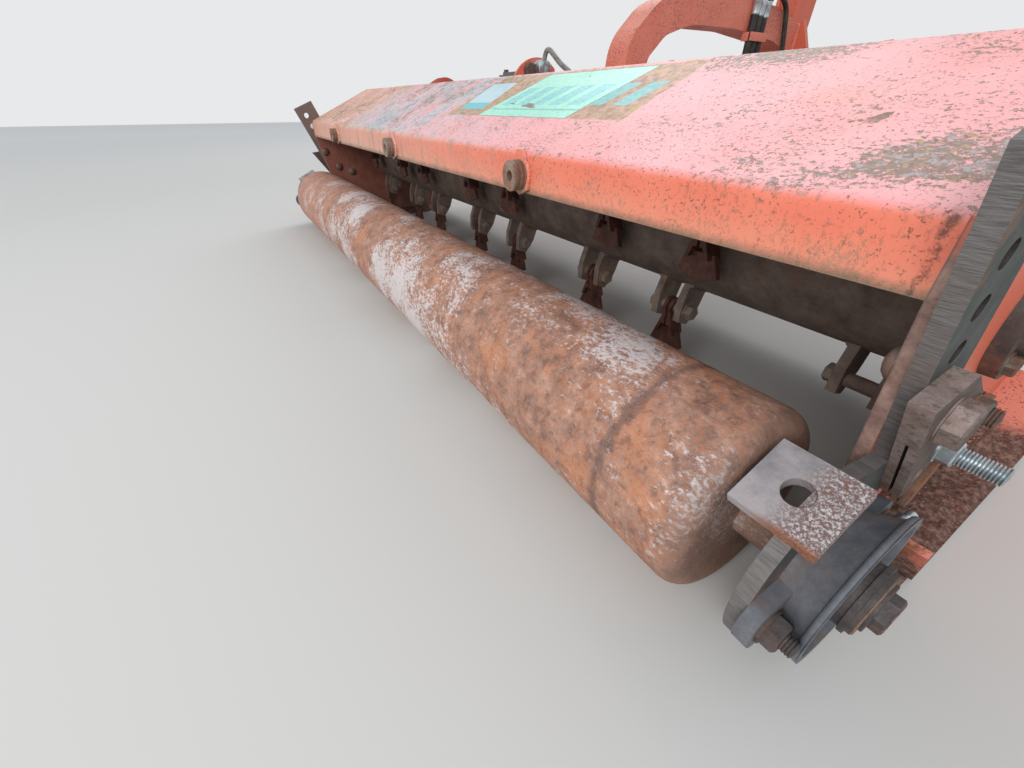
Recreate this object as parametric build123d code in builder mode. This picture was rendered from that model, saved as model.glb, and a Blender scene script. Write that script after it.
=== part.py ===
# Offset flail mower for ditches and verges, parked on its roller, skids and stand.
# Millimetres. +Y is the direction of travel, +X the end away from the hitch, +Z up.
# The origin is on the ground under the middle of the machine's bounding box.
from build123d import *
import math
import os

os.makedirs("parts", exist_ok=True)

# Driving sizes of the mowing head
HOOD_LENGTH = 1840.0
SHEET = 5.0
LIP_Y = -668.0
LIP_LOW_Z = 302.0
LIP_BEND_Z = 350.0
RIDGE_Z = 448.0
RIDGE_RUN = 216.0
TOP_RUN = 345.0
TOP_FRONT_Z = 443.0
FRONT_RUN = 500.0
FRONT_BEND_Z = 345.0
FRONT_LOW_Z = 285.0
BEND_RADIUS = 12.0
END_PLATE = 10.0
SEAT_GAP = 0.3

# Roller, its arms and bearings
ROLLER_RADIUS = 96.85
ROLLER_LENGTH = 1776.0
ROLLER_BACK = 21.0
ROLLER_SHOULDER = 20.0
AXLE_RADIUS = 20.0
AXLE_PROUD = 23.0
ARM_PLATE = 12.0
ARM_WIDTH = 66.0
ARM_HUB_RADIUS = 86.0
ARM_KNEE = (35.0, 175.0)
ARM_TOP = (-49.5, 387.0)
ARM_HOLE_RADIUS = 8.5
ARM_HOLE_PITCH = 35.0
ARM_FIRST_HOLE = 32.0
ARM_HOLE_EDGE = 27.0
ARM_HOLES = 6
BRACKET_PLATE = 14.0
BEARING_DEPTH = 35.0
BEARING_FLANGE = 12.0
BEARING_RADIUS = 56.0
BEARING_RIM_RADIUS = 70.0
BEARING_RECESS = 8.0
BEARING_BOLT_OFFSET = 74.0
BEARING_TURN = 6.0
RUNNING_FIT = 0.05

# Rotor and flails
ROTOR_RUN = 278.0
ROTOR_Z = 238.0
ROTOR_TUBE_RADIUS = 84.0
ROTOR_LENGTH = 1790.0
ROTOR_SHAFT_RADIUS = 25.0
LUG_PLATE = 12.0
LUG_GAP = 34.0
LUG_WIDTH = 44.0
PIVOT_RADIUS = 122.0
FLAIL_PIN_RADIUS = 9.0
FLAIL_LENGTH = 66.0
FLAIL_PLATE = 6.0
FLAIL_WIDTH = 32.0
STATION_PITCH = 475.0

# Pivot of the head and swan neck
ARM_X = 80.0
TILT_RUN = 540.0
TILT_Z = 420.0
TILT_PIN_RADIUS = 17.5
TILT_BARREL_RADIUS = 30.0
CLEVIS_RUN = 640.0
TILT_BUSH_RADIUS = 30.0
EAR_RADIUS = 36.0
EAR_PLATE = 12.0
NECK_WIDTH = 66.0
NECK_DEPTH = 66.0
FRONT_BEAM = 80.0
FRONT_BEAM_LOW_Z = 290.0

# Slide frame and its cylinder
RAIL_RUN = 1190.0
RAIL_RADIUS = 25.0
RAIL_LOW_Z = 350.0
RAIL_HIGH_Z = 500.0
RAIL_LEFT = -356.0
RAIL_RIGHT = 320.0
RAIL_PLATE = 14.0
SLEEVE_LENGTH = 170.0
SLEEVE_WALL = 9.0
SHIFT_BARREL_RADIUS = 32.0
SHIFT_ROD_RADIUS = 16.0
SHIFT_Z = 285.0

# Three-point headstock
HITCH_X = -60.0
HITCH_RUN = 1345.0
LOWER_PIN_RUN = 1420.0
LOWER_PIN_Z = 430.0
LOWER_PIN_SPAN = 825.0
LOWER_PIN_RADIUS = 14.0
MAST_HEIGHT = 510.0
TOP_BORE_RADIUS = 12.7
BEAM = 90.0
BEAM_Z = 345.0

# Derived places
ROLLER_Y = LIP_Y - ROLLER_BACK
ROLLER_Z = ROLLER_RADIUS
ROTOR_Y = LIP_Y + ROTOR_RUN
RAIL_Y = LIP_Y + RAIL_RUN
HITCH_Y = LIP_Y + HITCH_RUN
TILT_Y = LIP_Y + TILT_RUN
CLEVIS_Y = LIP_Y + CLEVIS_RUN
FRONT_BEAM_Y = LIP_Y + FRONT_RUN + FRONT_BEAM / 2
FRONT_BEAM_TOP = FRONT_BEAM_LOW_Z + FRONT_BEAM
HALF_HOOD = HOOD_LENGTH / 2
PLATE_OUT = HALF_HOOD + END_PLATE
ARM_OUT = PLATE_OUT + ARM_PLATE
BEARING_OUT = ARM_OUT + BEARING_DEPTH
AXLE_REACH = BEARING_OUT + AXLE_PROUD
SIDES = (("left", -1), ("right", 1))


def save(builder, name):
    """Label one finished piece and write it as its own file."""
    builder.part.label = name
    export_step(builder.part, "parts/" + name + ".step")


def side_plane(side, x):
    """The Y-Z plane at |X| = x on one end of the machine, drawn with Y to the right."""
    return Plane.YZ.offset(side * x)


# Hood: one bent sheet from the rear lip over the ridge to the front edge
HOOD_LINE = (
    (LIP_Y, LIP_LOW_Z),
    (LIP_Y, LIP_BEND_Z),
    (LIP_Y + RIDGE_RUN, RIDGE_Z),
    (LIP_Y + TOP_RUN, TOP_FRONT_Z),
    (LIP_Y + FRONT_RUN, FRONT_BEND_Z),
    (LIP_Y + FRONT_RUN, FRONT_LOW_Z),
)
with BuildPart() as hood:
    with BuildSketch(Plane.YZ.offset(-HALF_HOOD)):
        with BuildLine():
            FilletPolyline(*HOOD_LINE, radius=BEND_RADIUS)
            offset(amount=SHEET, side=Side.RIGHT)
        make_face()
    extrude(amount=HOOD_LENGTH)
save(hood, "hood")

# Lip bosses: short bushes on the lip for a bolt-on rear guard
BOSS_X = (-545.0, -30.0, 480.0)
BOSS_RADIUS = 17.0
BOSS_LENGTH = 20.0
BOSS_BORE = 6.5
BOSS_Z = (LIP_LOW_Z + LIP_BEND_Z) / 2 - 3
with BuildPart() as lip_bosses:
    for boss_x in BOSS_X:
        with BuildSketch(Plane((boss_x, LIP_Y, BOSS_Z), x_dir=(1, 0, 0), z_dir=(0, -1, 0))):
            Circle(BOSS_RADIUS)
            Circle(BOSS_BORE, mode=Mode.SUBTRACT)
        extrude(amount=BOSS_LENGTH)
save(lip_bosses, "lip_bosses")

# End plates: close the hood's ends and carry the rotor, skids and roller arms
PLATE_LINE = (
    (LIP_Y, LIP_LOW_Z),
    (LIP_Y, LIP_BEND_Z),
    (LIP_Y + RIDGE_RUN, RIDGE_Z),
    (LIP_Y + TOP_RUN, TOP_FRONT_Z),
    (LIP_Y + FRONT_RUN + FRONT_BEAM, FRONT_BEAM_TOP),
    (LIP_Y + FRONT_RUN + FRONT_BEAM, FRONT_BEAM_LOW_Z),
    (LIP_Y + FRONT_RUN + 30, 110.0),
    (LIP_Y + 440, 30.0),
    (LIP_Y + 95, 30.0),
    (LIP_Y + 35, 151.0),
)
ROTOR_HOLE = 42.0
for word, side in SIDES:
    with BuildPart() as end_plate:
        with BuildSketch(side_plane(side, HALF_HOOD)):
            Polygon(*PLATE_LINE, align=None)
            with Locations((ROTOR_Y, ROTOR_Z)):
                Circle(ROTOR_HOLE, mode=Mode.SUBTRACT)
        extrude(amount=side * END_PLATE)
    save(end_plate, "end_plate_" + word)

# Skids: bent runners under the end plates
SKID_THICK = 8.0
SKID_WIDTH = 62.0
SKID_LINE = (
    (LIP_Y + 86, 74.0),
    (LIP_Y + 132, 0.0),
    (LIP_Y + 425, 0.0),
    (LIP_Y + 512, 96.0),
)
SKID_BEND = 40.0
for word, side in SIDES:
    with BuildPart() as skid:
        with BuildSketch(side_plane(side, PLATE_OUT)):
            with BuildLine():
                FilletPolyline(*SKID_LINE, radius=SKID_BEND)
                offset(amount=SKID_THICK, side=Side.LEFT)
            make_face()
        extrude(amount=side * SKID_WIDTH)
        with BuildSketch(side_plane(side, PLATE_OUT)):
            with Locations((LIP_Y + 265, 40.0)):
                Rectangle(300.0, 68.0)
        extrude(amount=side * SKID_THICK)
    save(skid, "skid_" + word)

# Roller: rolled tube with rounded shoulders, an axle through it and a collar on each end
COLLAR_RADIUS = 27.0
END_BOLT_RADIUS = 13.0
END_BOLT_REACH = 11.0
COLLAR_IN = BEARING_OUT - BEARING_RECESS + 0.5
COLLAR_OUT = AXLE_REACH - END_BOLT_REACH
with BuildPart() as roller_tube:
    for radius, half in (
        # radius of each turned length, half its reach
        (ROLLER_RADIUS, ROLLER_LENGTH / 2),
        (AXLE_RADIUS, COLLAR_OUT),
        (END_BOLT_RADIUS, AXLE_REACH),
    ):
        with BuildSketch(Plane.YZ.offset(-half)):
            with Locations((ROLLER_Y, ROLLER_Z)):
                Circle(radius)
        extrude(amount=2 * half)
        if radius == ROLLER_RADIUS:
            fillet(roller_tube.edges().filter_by(GeomType.CIRCLE), ROLLER_SHOULDER)
    for side in (-1, 1):
        with BuildSketch(side_plane(side, COLLAR_IN)):
            with Locations((ROLLER_Y, ROLLER_Z)):
                Circle(COLLAR_RADIUS)
        extrude(amount=side * (COLLAR_OUT - COLLAR_IN))
save(roller_tube, "roller")

def hub_point(angle):
    """The Y and Z of a point on the arm's round foot, at an angle from +Y toward +Z."""
    turn = math.radians(angle)
    return ROLLER_Y + ARM_HUB_RADIUS * math.cos(turn), ROLLER_Z + ARM_HUB_RADIUS * math.sin(turn)


# Roller arms: plasma-cut plates with a row of height holes
rise = (ARM_TOP[0] - ARM_KNEE[0], ARM_TOP[1] - ARM_KNEE[1])
rise_length = math.hypot(*rise)
along = (rise[0] / rise_length, rise[1] / rise_length)
across = (along[1], -along[0])
ARM_LINE = (
    (LIP_Y + ARM_KNEE[0], ARM_KNEE[1]),
    (LIP_Y + ARM_TOP[0], ARM_TOP[1]),
    (LIP_Y + ARM_TOP[0] + ARM_WIDTH * across[0], ARM_TOP[1] + ARM_WIDTH * across[1]),
    (LIP_Y + ARM_KNEE[0] + ARM_WIDTH * across[0], ARM_KNEE[1] + ARM_WIDTH * across[1]),
    hub_point(14),
    (ROLLER_Y, ROLLER_Z),
    hub_point(68),
)
ARM_BORE = 27.0
SCRAPER_TAB = 62.0
SCRAPER_TAB_THICK = 10.0
SCRAPER_TAB_SEAT = 80.0
SCRAPER_TAB_ANGLE = 116.0
SCRAPER_TAB_INNER = 894.0
SCRAPER_HOLE = 11.0
tab_turn = math.radians(SCRAPER_TAB_ANGLE)
tab_out = (math.cos(tab_turn), math.sin(tab_turn))
for word, side in SIDES:
    with BuildPart() as roller_arm:
        with BuildSketch(side_plane(side, PLATE_OUT)):
            Polygon(*ARM_LINE, align=None)
            with Locations((ROLLER_Y, ROLLER_Z)):
                Circle(ARM_HUB_RADIUS)
                Circle(ARM_BORE, mode=Mode.SUBTRACT)
            for step in range(ARM_HOLES):
                drop = ARM_FIRST_HOLE + step * ARM_HOLE_PITCH
                hole_y = LIP_Y + ARM_TOP[0] + across[0] * ARM_HOLE_EDGE - along[0] * drop
                hole_z = ARM_TOP[1] + across[1] * ARM_HOLE_EDGE - along[1] * drop
                with Locations((hole_y, hole_z)):
                    Circle(ARM_HOLE_RADIUS, mode=Mode.SUBTRACT)
        extrude(amount=side * ARM_PLATE)
        tab_seat = (
            side * (SCRAPER_TAB_INNER + SCRAPER_TAB / 2),
            ROLLER_Y + SCRAPER_TAB_SEAT * tab_out[0],
            ROLLER_Z + SCRAPER_TAB_SEAT * tab_out[1],
        )
        with BuildSketch(Plane(tab_seat, x_dir=(1, 0, 0), z_dir=(0, *tab_out))):
            Rectangle(SCRAPER_TAB, SCRAPER_TAB)
            Circle(SCRAPER_HOLE, mode=Mode.SUBTRACT)
        extrude(amount=SCRAPER_TAB_THICK)
    save(roller_arm, "roller_arm_" + word)

# Brackets: doubled cheek plates bolted over the arms, rounded at the front
BRACKET_LINE = (
    (LIP_Y - 19, 249.0),
    (LIP_Y + 40, 256.0),
    (LIP_Y + 92, 226.0),
    (LIP_Y + 108, 190.0),
    (LIP_Y + 95, 130.0),
    (LIP_Y + 62, 130.0),
    (LIP_Y + 28, 180.0),
)
BRACKET_HOLE = (LIP_Y + 72, 152.0)
BRACKET_SLIT = 2.0
BRACKET_SLIT_TOP = 205.0
for word, side in SIDES:
    with BuildPart() as bracket:
        with BuildSketch(side_plane(side, ARM_OUT)):
            Polygon(*BRACKET_LINE, align=None)
            with Locations(BRACKET_HOLE):
                Circle(ARM_HOLE_RADIUS, mode=Mode.SUBTRACT)
        extrude(amount=side * BRACKET_PLATE)
        fillet(bracket.edges().filter_by(Axis.X).group_by(Axis.Y)[-1], 20.0)
        with Locations((side * (ARM_OUT + BRACKET_PLATE / 2), LIP_Y + 30, (BRACKET_SLIT_TOP + 110) / 2)):
            Box(BRACKET_SLIT, 80.0, BRACKET_SLIT_TOP - 110, mode=Mode.SUBTRACT)
    save(bracket, "arm_bracket_" + word)

# Roller bearings: cast two-bolt housings that flare to a rim, on the outer faces of the arms
for word, side in SIDES:
    with BuildPart() as bearing:
        with BuildSketch(side_plane(side, ARM_OUT)):
            with Locations(Location((ROLLER_Y, ROLLER_Z, 0), (0, 0, BEARING_TURN))):
                SlotCenterToCenter(2 * BEARING_BOLT_OFFSET, 44.0)
        extrude(amount=side * BEARING_FLANGE)
        with BuildSketch(Plane((0, ROLLER_Y, ROLLER_Z), x_dir=(side, 0, 0), z_dir=(0, -side, 0))):
            with BuildLine():
                Polyline(
                    (BEARING_OUT, BEARING_RIM_RADIUS),
                    (BEARING_OUT, BEARING_RIM_RADIUS - 7),
                    (BEARING_OUT - BEARING_RECESS, BEARING_RIM_RADIUS - 10),
                    (BEARING_OUT - BEARING_RECESS, AXLE_RADIUS + RUNNING_FIT),
                    (ARM_OUT, AXLE_RADIUS + RUNNING_FIT),
                    (ARM_OUT, BEARING_RADIUS),
                )
                ThreePointArc(
                    (ARM_OUT, BEARING_RADIUS),
                    (ARM_OUT + BEARING_DEPTH * 0.6, BEARING_RADIUS + 4),
                    (BEARING_OUT, BEARING_RIM_RADIUS),
                )
            make_face()
        revolve(axis=Axis((0, ROLLER_Y, ROLLER_Z), (1, 0, 0)))
        with BuildSketch(side_plane(side, ARM_OUT)):
            with Locations((ROLLER_Y, ROLLER_Z)):
                Circle(AXLE_RADIUS + RUNNING_FIT)
        extrude(amount=side * BEARING_DEPTH, mode=Mode.SUBTRACT)
    save(bearing, "roller_bearing_" + word)

# Rotor: tube with welded lug pairs, flail pins and a shaft in each end
FLAIL_ROWS = (
    # lug angle from +Y toward +Z, X of the first station, angle its flails hang at
    (-110.0, -850.0, -90.0),
    (-110.0, -570.0, -90.0),
    (160.0, -770.0, -90.0),
    (160.0, -470.0, -90.0),
    (70.0, -690.0, -28.0),
    (70.0, -390.0, -28.0),
    (-20.0, -830.0, -90.0),
    (-20.0, -530.0, -90.0),
)
BARE_ROW = -110.0
LUG_REACH = PIVOT_RADIUS + 20.0
LUG_ROOT = ROTOR_TUBE_RADIUS - 6.0
ROTOR_SHAFT_REACH = PLATE_OUT + 38.0


def polar(angle, radius):
    """The Y and Z of a point at an angle and a radius about the rotor's axis."""
    turn = math.radians(angle)
    return ROTOR_Y + radius * math.cos(turn), ROTOR_Z + radius * math.sin(turn)


def along_x(x, y, z, turn=0.0):
    """A place whose own X axis lies at an angle in the Y-Z plane and whose Z axis is +X."""
    return Plane.YZ.offset(x).location * Location((y, z, 0), (0, 0, turn))


LAST_STATION = ROTOR_LENGTH / 2 - 40.0
stations = []
for lug_angle, first, hang in FLAIL_ROWS:
    for step in range(int((LAST_STATION - first) // STATION_PITCH) + 1):
        stations.append((first + step * STATION_PITCH, lug_angle, hang))
bare_station = max(station for station in stations if station[1] == BARE_ROW)

# Lug plate about its middle, from the tube outward along its X
LUG_HALF = (LUG_REACH - LUG_ROOT) / 2
LUG_LINE = (
    (-LUG_HALF, -LUG_WIDTH / 2),
    (0.0, -LUG_WIDTH / 2),
    (LUG_HALF, -LUG_WIDTH / 4),
    (LUG_HALF, LUG_WIDTH / 4),
    (0.0, LUG_WIDTH / 2),
    (-LUG_HALF, LUG_WIDTH / 2),
)
with BuildPart() as rotor:
    with Locations(along_x(0, ROTOR_Y, ROTOR_Z)):
        Cylinder(ROTOR_TUBE_RADIUS, ROTOR_LENGTH)
        Cylinder(ROTOR_SHAFT_RADIUS, 2 * ROTOR_SHAFT_REACH)
    lug_places = []
    pin_places = []
    for station_x, lug_angle, hang in stations:
        lug_y, lug_z = polar(lug_angle, (LUG_ROOT + LUG_REACH) / 2)
        for way in (-1, 1):
            lug_x = station_x + way * (LUG_GAP + LUG_PLATE) / 2
            lug_places.append(along_x(lug_x, lug_y, lug_z, lug_angle))
        pin_places.append(along_x(station_x, *polar(lug_angle, PIVOT_RADIUS)))
    for lug_place in lug_places:
        with BuildSketch(Plane(lug_place).offset(-LUG_PLATE / 2)):
            Polygon(*LUG_LINE, align=None)
        extrude(amount=LUG_PLATE)
    with Locations(*pin_places):
        Cylinder(FLAIL_PIN_RADIUS, LUG_GAP)
save(rotor, "rotor")

# Flails: two bent straps on each pin, joined by a wide paddle; the last one at the near end is lost
BLADE_EYE = 15.0
STRAP_GAP = 4.0
STRAP_LENGTH = 44.0
STRAP_SPREAD = 10.0
PADDLE_WIDTH = 62.0
PADDLE_THICK = 8.0
with BuildPart() as flails:
    for station_x, lug_angle, hang in stations:
        if (station_x, lug_angle, hang) == bare_station:
            continue
        pin_y, pin_z = polar(lug_angle, PIVOT_RADIUS)
        pin_place = Plane(along_x(station_x, pin_y, pin_z, hang))
        for way in (-1, 1):
            with BuildSketch(pin_place.offset(way * STRAP_GAP / 2)):
                Circle(BLADE_EYE)
                with Locations((BLADE_EYE, 0)):
                    Rectangle(2 * BLADE_EYE, FLAIL_WIDTH * 0.8)
                Circle(FLAIL_PIN_RADIUS + SEAT_GAP, mode=Mode.SUBTRACT)
            extrude(amount=way * FLAIL_PLATE)
        with BuildSketch(Plane(pin_place.origin, x_dir=pin_place.x_dir, z_dir=-pin_place.y_dir)):
            for way in (-1, 1):
                inner = way * STRAP_GAP / 2
                outer = way * (STRAP_GAP / 2 + FLAIL_PLATE)
                Polygon(
                    (BLADE_EYE, inner),
                    (STRAP_LENGTH, inner + way * STRAP_SPREAD),
                    (STRAP_LENGTH, outer + way * STRAP_SPREAD),
                    (BLADE_EYE, outer),
                    align=None,
                )
        extrude(amount=FLAIL_WIDTH * 0.4, both=True)
        with BuildSketch(Plane(pin_place.origin, x_dir=pin_place.x_dir, z_dir=-pin_place.y_dir)):
            Polygon(
                (STRAP_LENGTH - 6, -PADDLE_WIDTH / 3),
                (FLAIL_LENGTH, -PADDLE_WIDTH / 2),
                (FLAIL_LENGTH + 8, 0),
                (FLAIL_LENGTH, PADDLE_WIDTH / 2),
                (STRAP_LENGTH - 6, PADDLE_WIDTH / 3),
                align=None,
            )
        extrude(amount=PADDLE_THICK / 2, both=True)
save(flails, "flails")

# Rotor bearing at the near end, a round flanged housing on the end plate
ROTOR_BEARING_RADIUS = 68.0
with BuildPart() as rotor_bearing:
    with BuildSketch(side_plane(1, PLATE_OUT)):
        with Locations((ROTOR_Y, ROTOR_Z)):
            Circle(ROTOR_BEARING_RADIUS)
    extrude(amount=14.0)
    with BuildSketch(side_plane(1, PLATE_OUT)):
        with Locations((ROTOR_Y, ROTOR_Z)):
            Circle(ROTOR_BEARING_RADIUS - 22)
    extrude(amount=45.0)
    with BuildSketch(side_plane(1, PLATE_OUT)):
        with Locations((ROTOR_Y, ROTOR_Z)):
            Circle(ROTOR_SHAFT_RADIUS + RUNNING_FIT)
    extrude(amount=40.0, mode=Mode.SUBTRACT)
save(rotor_bearing, "rotor_bearing")

# Gearbox, its round flange and the cross shaft stub over the front beam
GEARBOX_X = -355.0
GEARBOX_Z = 426.0
GEARBOX_TOP = 476.0
GEARBOX_SIZE = 130.0
GEARBOX_Y = FRONT_BEAM_Y
DRIVE_TUBE_RADIUS = 34.0
GUARD_RADIUS = 88.0
UNION_RADIUS = 15.0
UNION_Z = 488.0
with BuildPart() as gearbox:
    with Locations((GEARBOX_X, GEARBOX_Y, (FRONT_BEAM_TOP + GEARBOX_TOP) / 2)):
        Box(GEARBOX_SIZE, GEARBOX_SIZE - 20, GEARBOX_TOP - FRONT_BEAM_TOP)
    fillet(gearbox.edges().filter_by(Axis.Z), 14.0)
save(gearbox, "gearbox")

# Shaft guard: round plate on the gearbox's near side, cut clear of the tilt cylinder,
# with an oil union near its top
GUARD_X = GEARBOX_X + GEARBOX_SIZE / 2
GUARD_PLATE = 8.0
GUARD_CLEAR = 7.0
with BuildPart() as shaft_guard:
    with BuildSketch(Plane.YZ.offset(GUARD_X)):
        with Locations((GEARBOX_Y, GEARBOX_Z)):
            Circle(GUARD_RADIUS)
        with Locations((GEARBOX_Y, FRONT_BEAM_TOP - GUARD_RADIUS)):
            Rectangle(2 * GUARD_RADIUS, 2 * GUARD_RADIUS, mode=Mode.SUBTRACT)
        with Locations((CLEVIS_Y - TILT_BARREL_RADIUS - GUARD_CLEAR + GUARD_RADIUS, GEARBOX_Z)):
            Rectangle(2 * GUARD_RADIUS, 4 * GUARD_RADIUS, mode=Mode.SUBTRACT)
    extrude(amount=GUARD_PLATE)
    with BuildSketch(Plane.YZ.offset(GUARD_X + GUARD_PLATE)):
        with Locations((GEARBOX_Y, UNION_Z)):
            Circle(UNION_RADIUS)
    extrude(amount=45.0)
save(shaft_guard, "shaft_guard")

# Input shaft: splined stub toward the tractor, free to turn
INPUT_RADIUS = 17.3
INPUT_LENGTH = 95.0
gearbox_face = (GEARBOX_X, GEARBOX_Y + GEARBOX_SIZE / 2 - 10 + SEAT_GAP, GEARBOX_Z)
with BuildPart() as input_shaft:
    with BuildSketch(Plane(gearbox_face, x_dir=(-1, 0, 0), z_dir=(0, 1, 0))):
        Circle(INPUT_RADIUS)
    extrude(amount=INPUT_LENGTH)
save(input_shaft, "input_shaft")

# Drive tube from the gearbox to the belt case at the far end
with BuildPart() as drive_tube:
    with BuildSketch(Plane.YZ.offset(-PLATE_OUT)):
        with Locations((GEARBOX_Y, GEARBOX_Z)):
            Circle(DRIVE_TUBE_RADIUS)
    extrude(amount=PLATE_OUT + GEARBOX_X - GEARBOX_SIZE / 2)
save(drive_tube, "drive_tube")

# Belt case: closed case over the two pulleys on the far end plate
CASE_LOW_RADIUS = 105.0
CASE_HIGH_RADIUS = 60.0
CASE_DEPTH = 66.0
with BuildPart() as belt_case:
    with BuildSketch(side_plane(-1, PLATE_OUT)):
        with Locations((ROTOR_Y, ROTOR_Z)):
            Circle(CASE_LOW_RADIUS)
        with Locations((GEARBOX_Y, GEARBOX_Z)):
            Circle(CASE_HIGH_RADIUS)
        make_hull()
    extrude(amount=-CASE_DEPTH)
    with BuildSketch(side_plane(-1, PLATE_OUT)):
        with Locations((ROTOR_Y, ROTOR_Z)):
            Circle(ROTOR_SHAFT_RADIUS + RUNNING_FIT)
    extrude(amount=-40.0, mode=Mode.SUBTRACT)
save(belt_case, "belt_case")

# Front beam: square tube along the hood's front edge, with the pivot ears and cylinder lug
BEAM_WALL = 5.0
EAR_HALF_BASE = 66.0
CLEVIS_PLATE = 10.0
EYE_WIDTH = 24.0
EYE_RADIUS = 23.0
CLEVIS_PIN = 12.5
CLEVIS_GAP = EYE_WIDTH + 2.0
CRANK_GAP = 66.0
ROD_EYE = (ARM_X - 700.0, 360.0)
CRANK_EYE = (ARM_X, 270.0)
LUG_ROUND = 30.0
LUG_FOOT = 14.0
beam_front = LIP_Y + FRONT_RUN + FRONT_BEAM
foot_front = CLEVIS_Y + CLEVIS_GAP / 2 + CLEVIS_PLATE
with BuildPart() as front_beam:
    with BuildSketch(Plane.YZ.offset(-HALF_HOOD)):
        with Locations((FRONT_BEAM_Y, FRONT_BEAM_LOW_Z + FRONT_BEAM / 2)):
            Rectangle(FRONT_BEAM, FRONT_BEAM)
            Rectangle(FRONT_BEAM - 2 * BEAM_WALL, FRONT_BEAM - 2 * BEAM_WALL, mode=Mode.SUBTRACT)
    extrude(amount=HOOD_LENGTH)
    for ear_y in (TILT_Y - FRONT_BEAM / 2 + EAR_PLATE, TILT_Y + FRONT_BEAM / 2):
        with BuildSketch(Plane((ARM_X, ear_y, TILT_Z), x_dir=(1, 0, 0), z_dir=(0, -1, 0))):
            Circle(EAR_RADIUS)
            with Locations((0, FRONT_BEAM_TOP - TILT_Z - 1)):
                Rectangle(2 * EAR_HALF_BASE, 2.0)
            make_hull()
            Circle(TILT_PIN_RADIUS + RUNNING_FIT, mode=Mode.SUBTRACT)
        extrude(amount=EAR_PLATE)
    for way in (-1, 1):
        lug_y = CLEVIS_Y + way * CLEVIS_GAP / 2
        with BuildSketch(Plane((ROD_EYE[0], lug_y, ROD_EYE[1]), x_dir=(-1, 0, 0), z_dir=(0, 1, 0))):
            Circle(LUG_ROUND)
            with Locations((0, -35)):
                Rectangle(2 * LUG_ROUND, 70.0)
        extrude(amount=way * CLEVIS_PLATE)
        lug_face = (ROD_EYE[0], lug_y + way * CLEVIS_PLATE, ROD_EYE[1])
        with BuildSketch(Plane(lug_face, x_dir=(1, 0, 0), z_dir=(0, 1, 0))):
            Circle(CLEVIS_PIN)
        extrude(amount=way * 9.0)
    with Locations((ROD_EYE[0], (beam_front + foot_front) / 2, FRONT_BEAM_LOW_Z + LUG_FOOT / 2)):
        Box(2 * LUG_ROUND, foot_front - beam_front, LUG_FOOT)
save(front_beam, "front_beam")

# Pivot pin of the head: keyed in the neck, with a head at the rear and the tilt crank at the front
CRANK_ROUND = 32.0
PIN_HEAD = 8.0
pin_back = TILT_Y - FRONT_BEAM / 2 - PIN_HEAD - SEAT_GAP
pin_front = CLEVIS_Y + CRANK_GAP / 2 + CLEVIS_PLATE
with BuildPart() as tilt_pin:
    with BuildSketch(Plane((ARM_X, pin_back, TILT_Z), x_dir=(-1, 0, 0), z_dir=(0, 1, 0))):
        Circle(TILT_PIN_RADIUS)
    extrude(amount=pin_front - pin_back)
    with BuildSketch(Plane((ARM_X, pin_back, TILT_Z), x_dir=(-1, 0, 0), z_dir=(0, 1, 0))):
        Circle(26.0)
    extrude(amount=PIN_HEAD)
    for way in (-1, 1):
        lug_y = CLEVIS_Y + way * CRANK_GAP / 2
        with BuildSketch(Plane((ARM_X, lug_y, 0), x_dir=(-1, 0, 0), z_dir=(0, 1, 0))):
            with Locations((0, CRANK_EYE[1])):
                Circle(LUG_ROUND)
            with Locations((0, TILT_Z)):
                Circle(CRANK_ROUND)
            make_hull()
        extrude(amount=way * CLEVIS_PLATE)
    crank_back = (CRANK_EYE[0], CLEVIS_Y - CRANK_GAP / 2 - 18, CRANK_EYE[1])
    with BuildSketch(Plane(crank_back, x_dir=(-1, 0, 0), z_dir=(0, 1, 0))):
        Circle(CLEVIS_PIN)
    extrude(amount=CRANK_GAP + 36)
save(tilt_pin, "tilt_pin")

# Rubber flap under the front beam, slit into strips, with its clamp bar
FLAP_LOW_Z = 90.0
FLAP_STRIPS = 16
FLAP_THICK = 6.0
FLAP_RUN = 520.0
FLAP_HALF = HALF_HOOD - 12.0
with BuildPart() as front_flap:
    with BuildSketch(Plane((0, LIP_Y + FLAP_RUN, 0), x_dir=(1, 0, 0), z_dir=(0, -1, 0))):
        with Locations((0, (FLAP_LOW_Z + FRONT_BEAM_LOW_Z) / 2)):
            Rectangle(2 * FLAP_HALF, FRONT_BEAM_LOW_Z - FLAP_LOW_Z)
        strip = 2 * FLAP_HALF / FLAP_STRIPS
        for cut in range(1, FLAP_STRIPS):
            with Locations((-FLAP_HALF + cut * strip, (FLAP_LOW_Z + 230.0) / 2)):
                Rectangle(2.0, 230.0 - FLAP_LOW_Z, mode=Mode.SUBTRACT)
    extrude(amount=FLAP_THICK)
save(front_flap, "front_flap")

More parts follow.
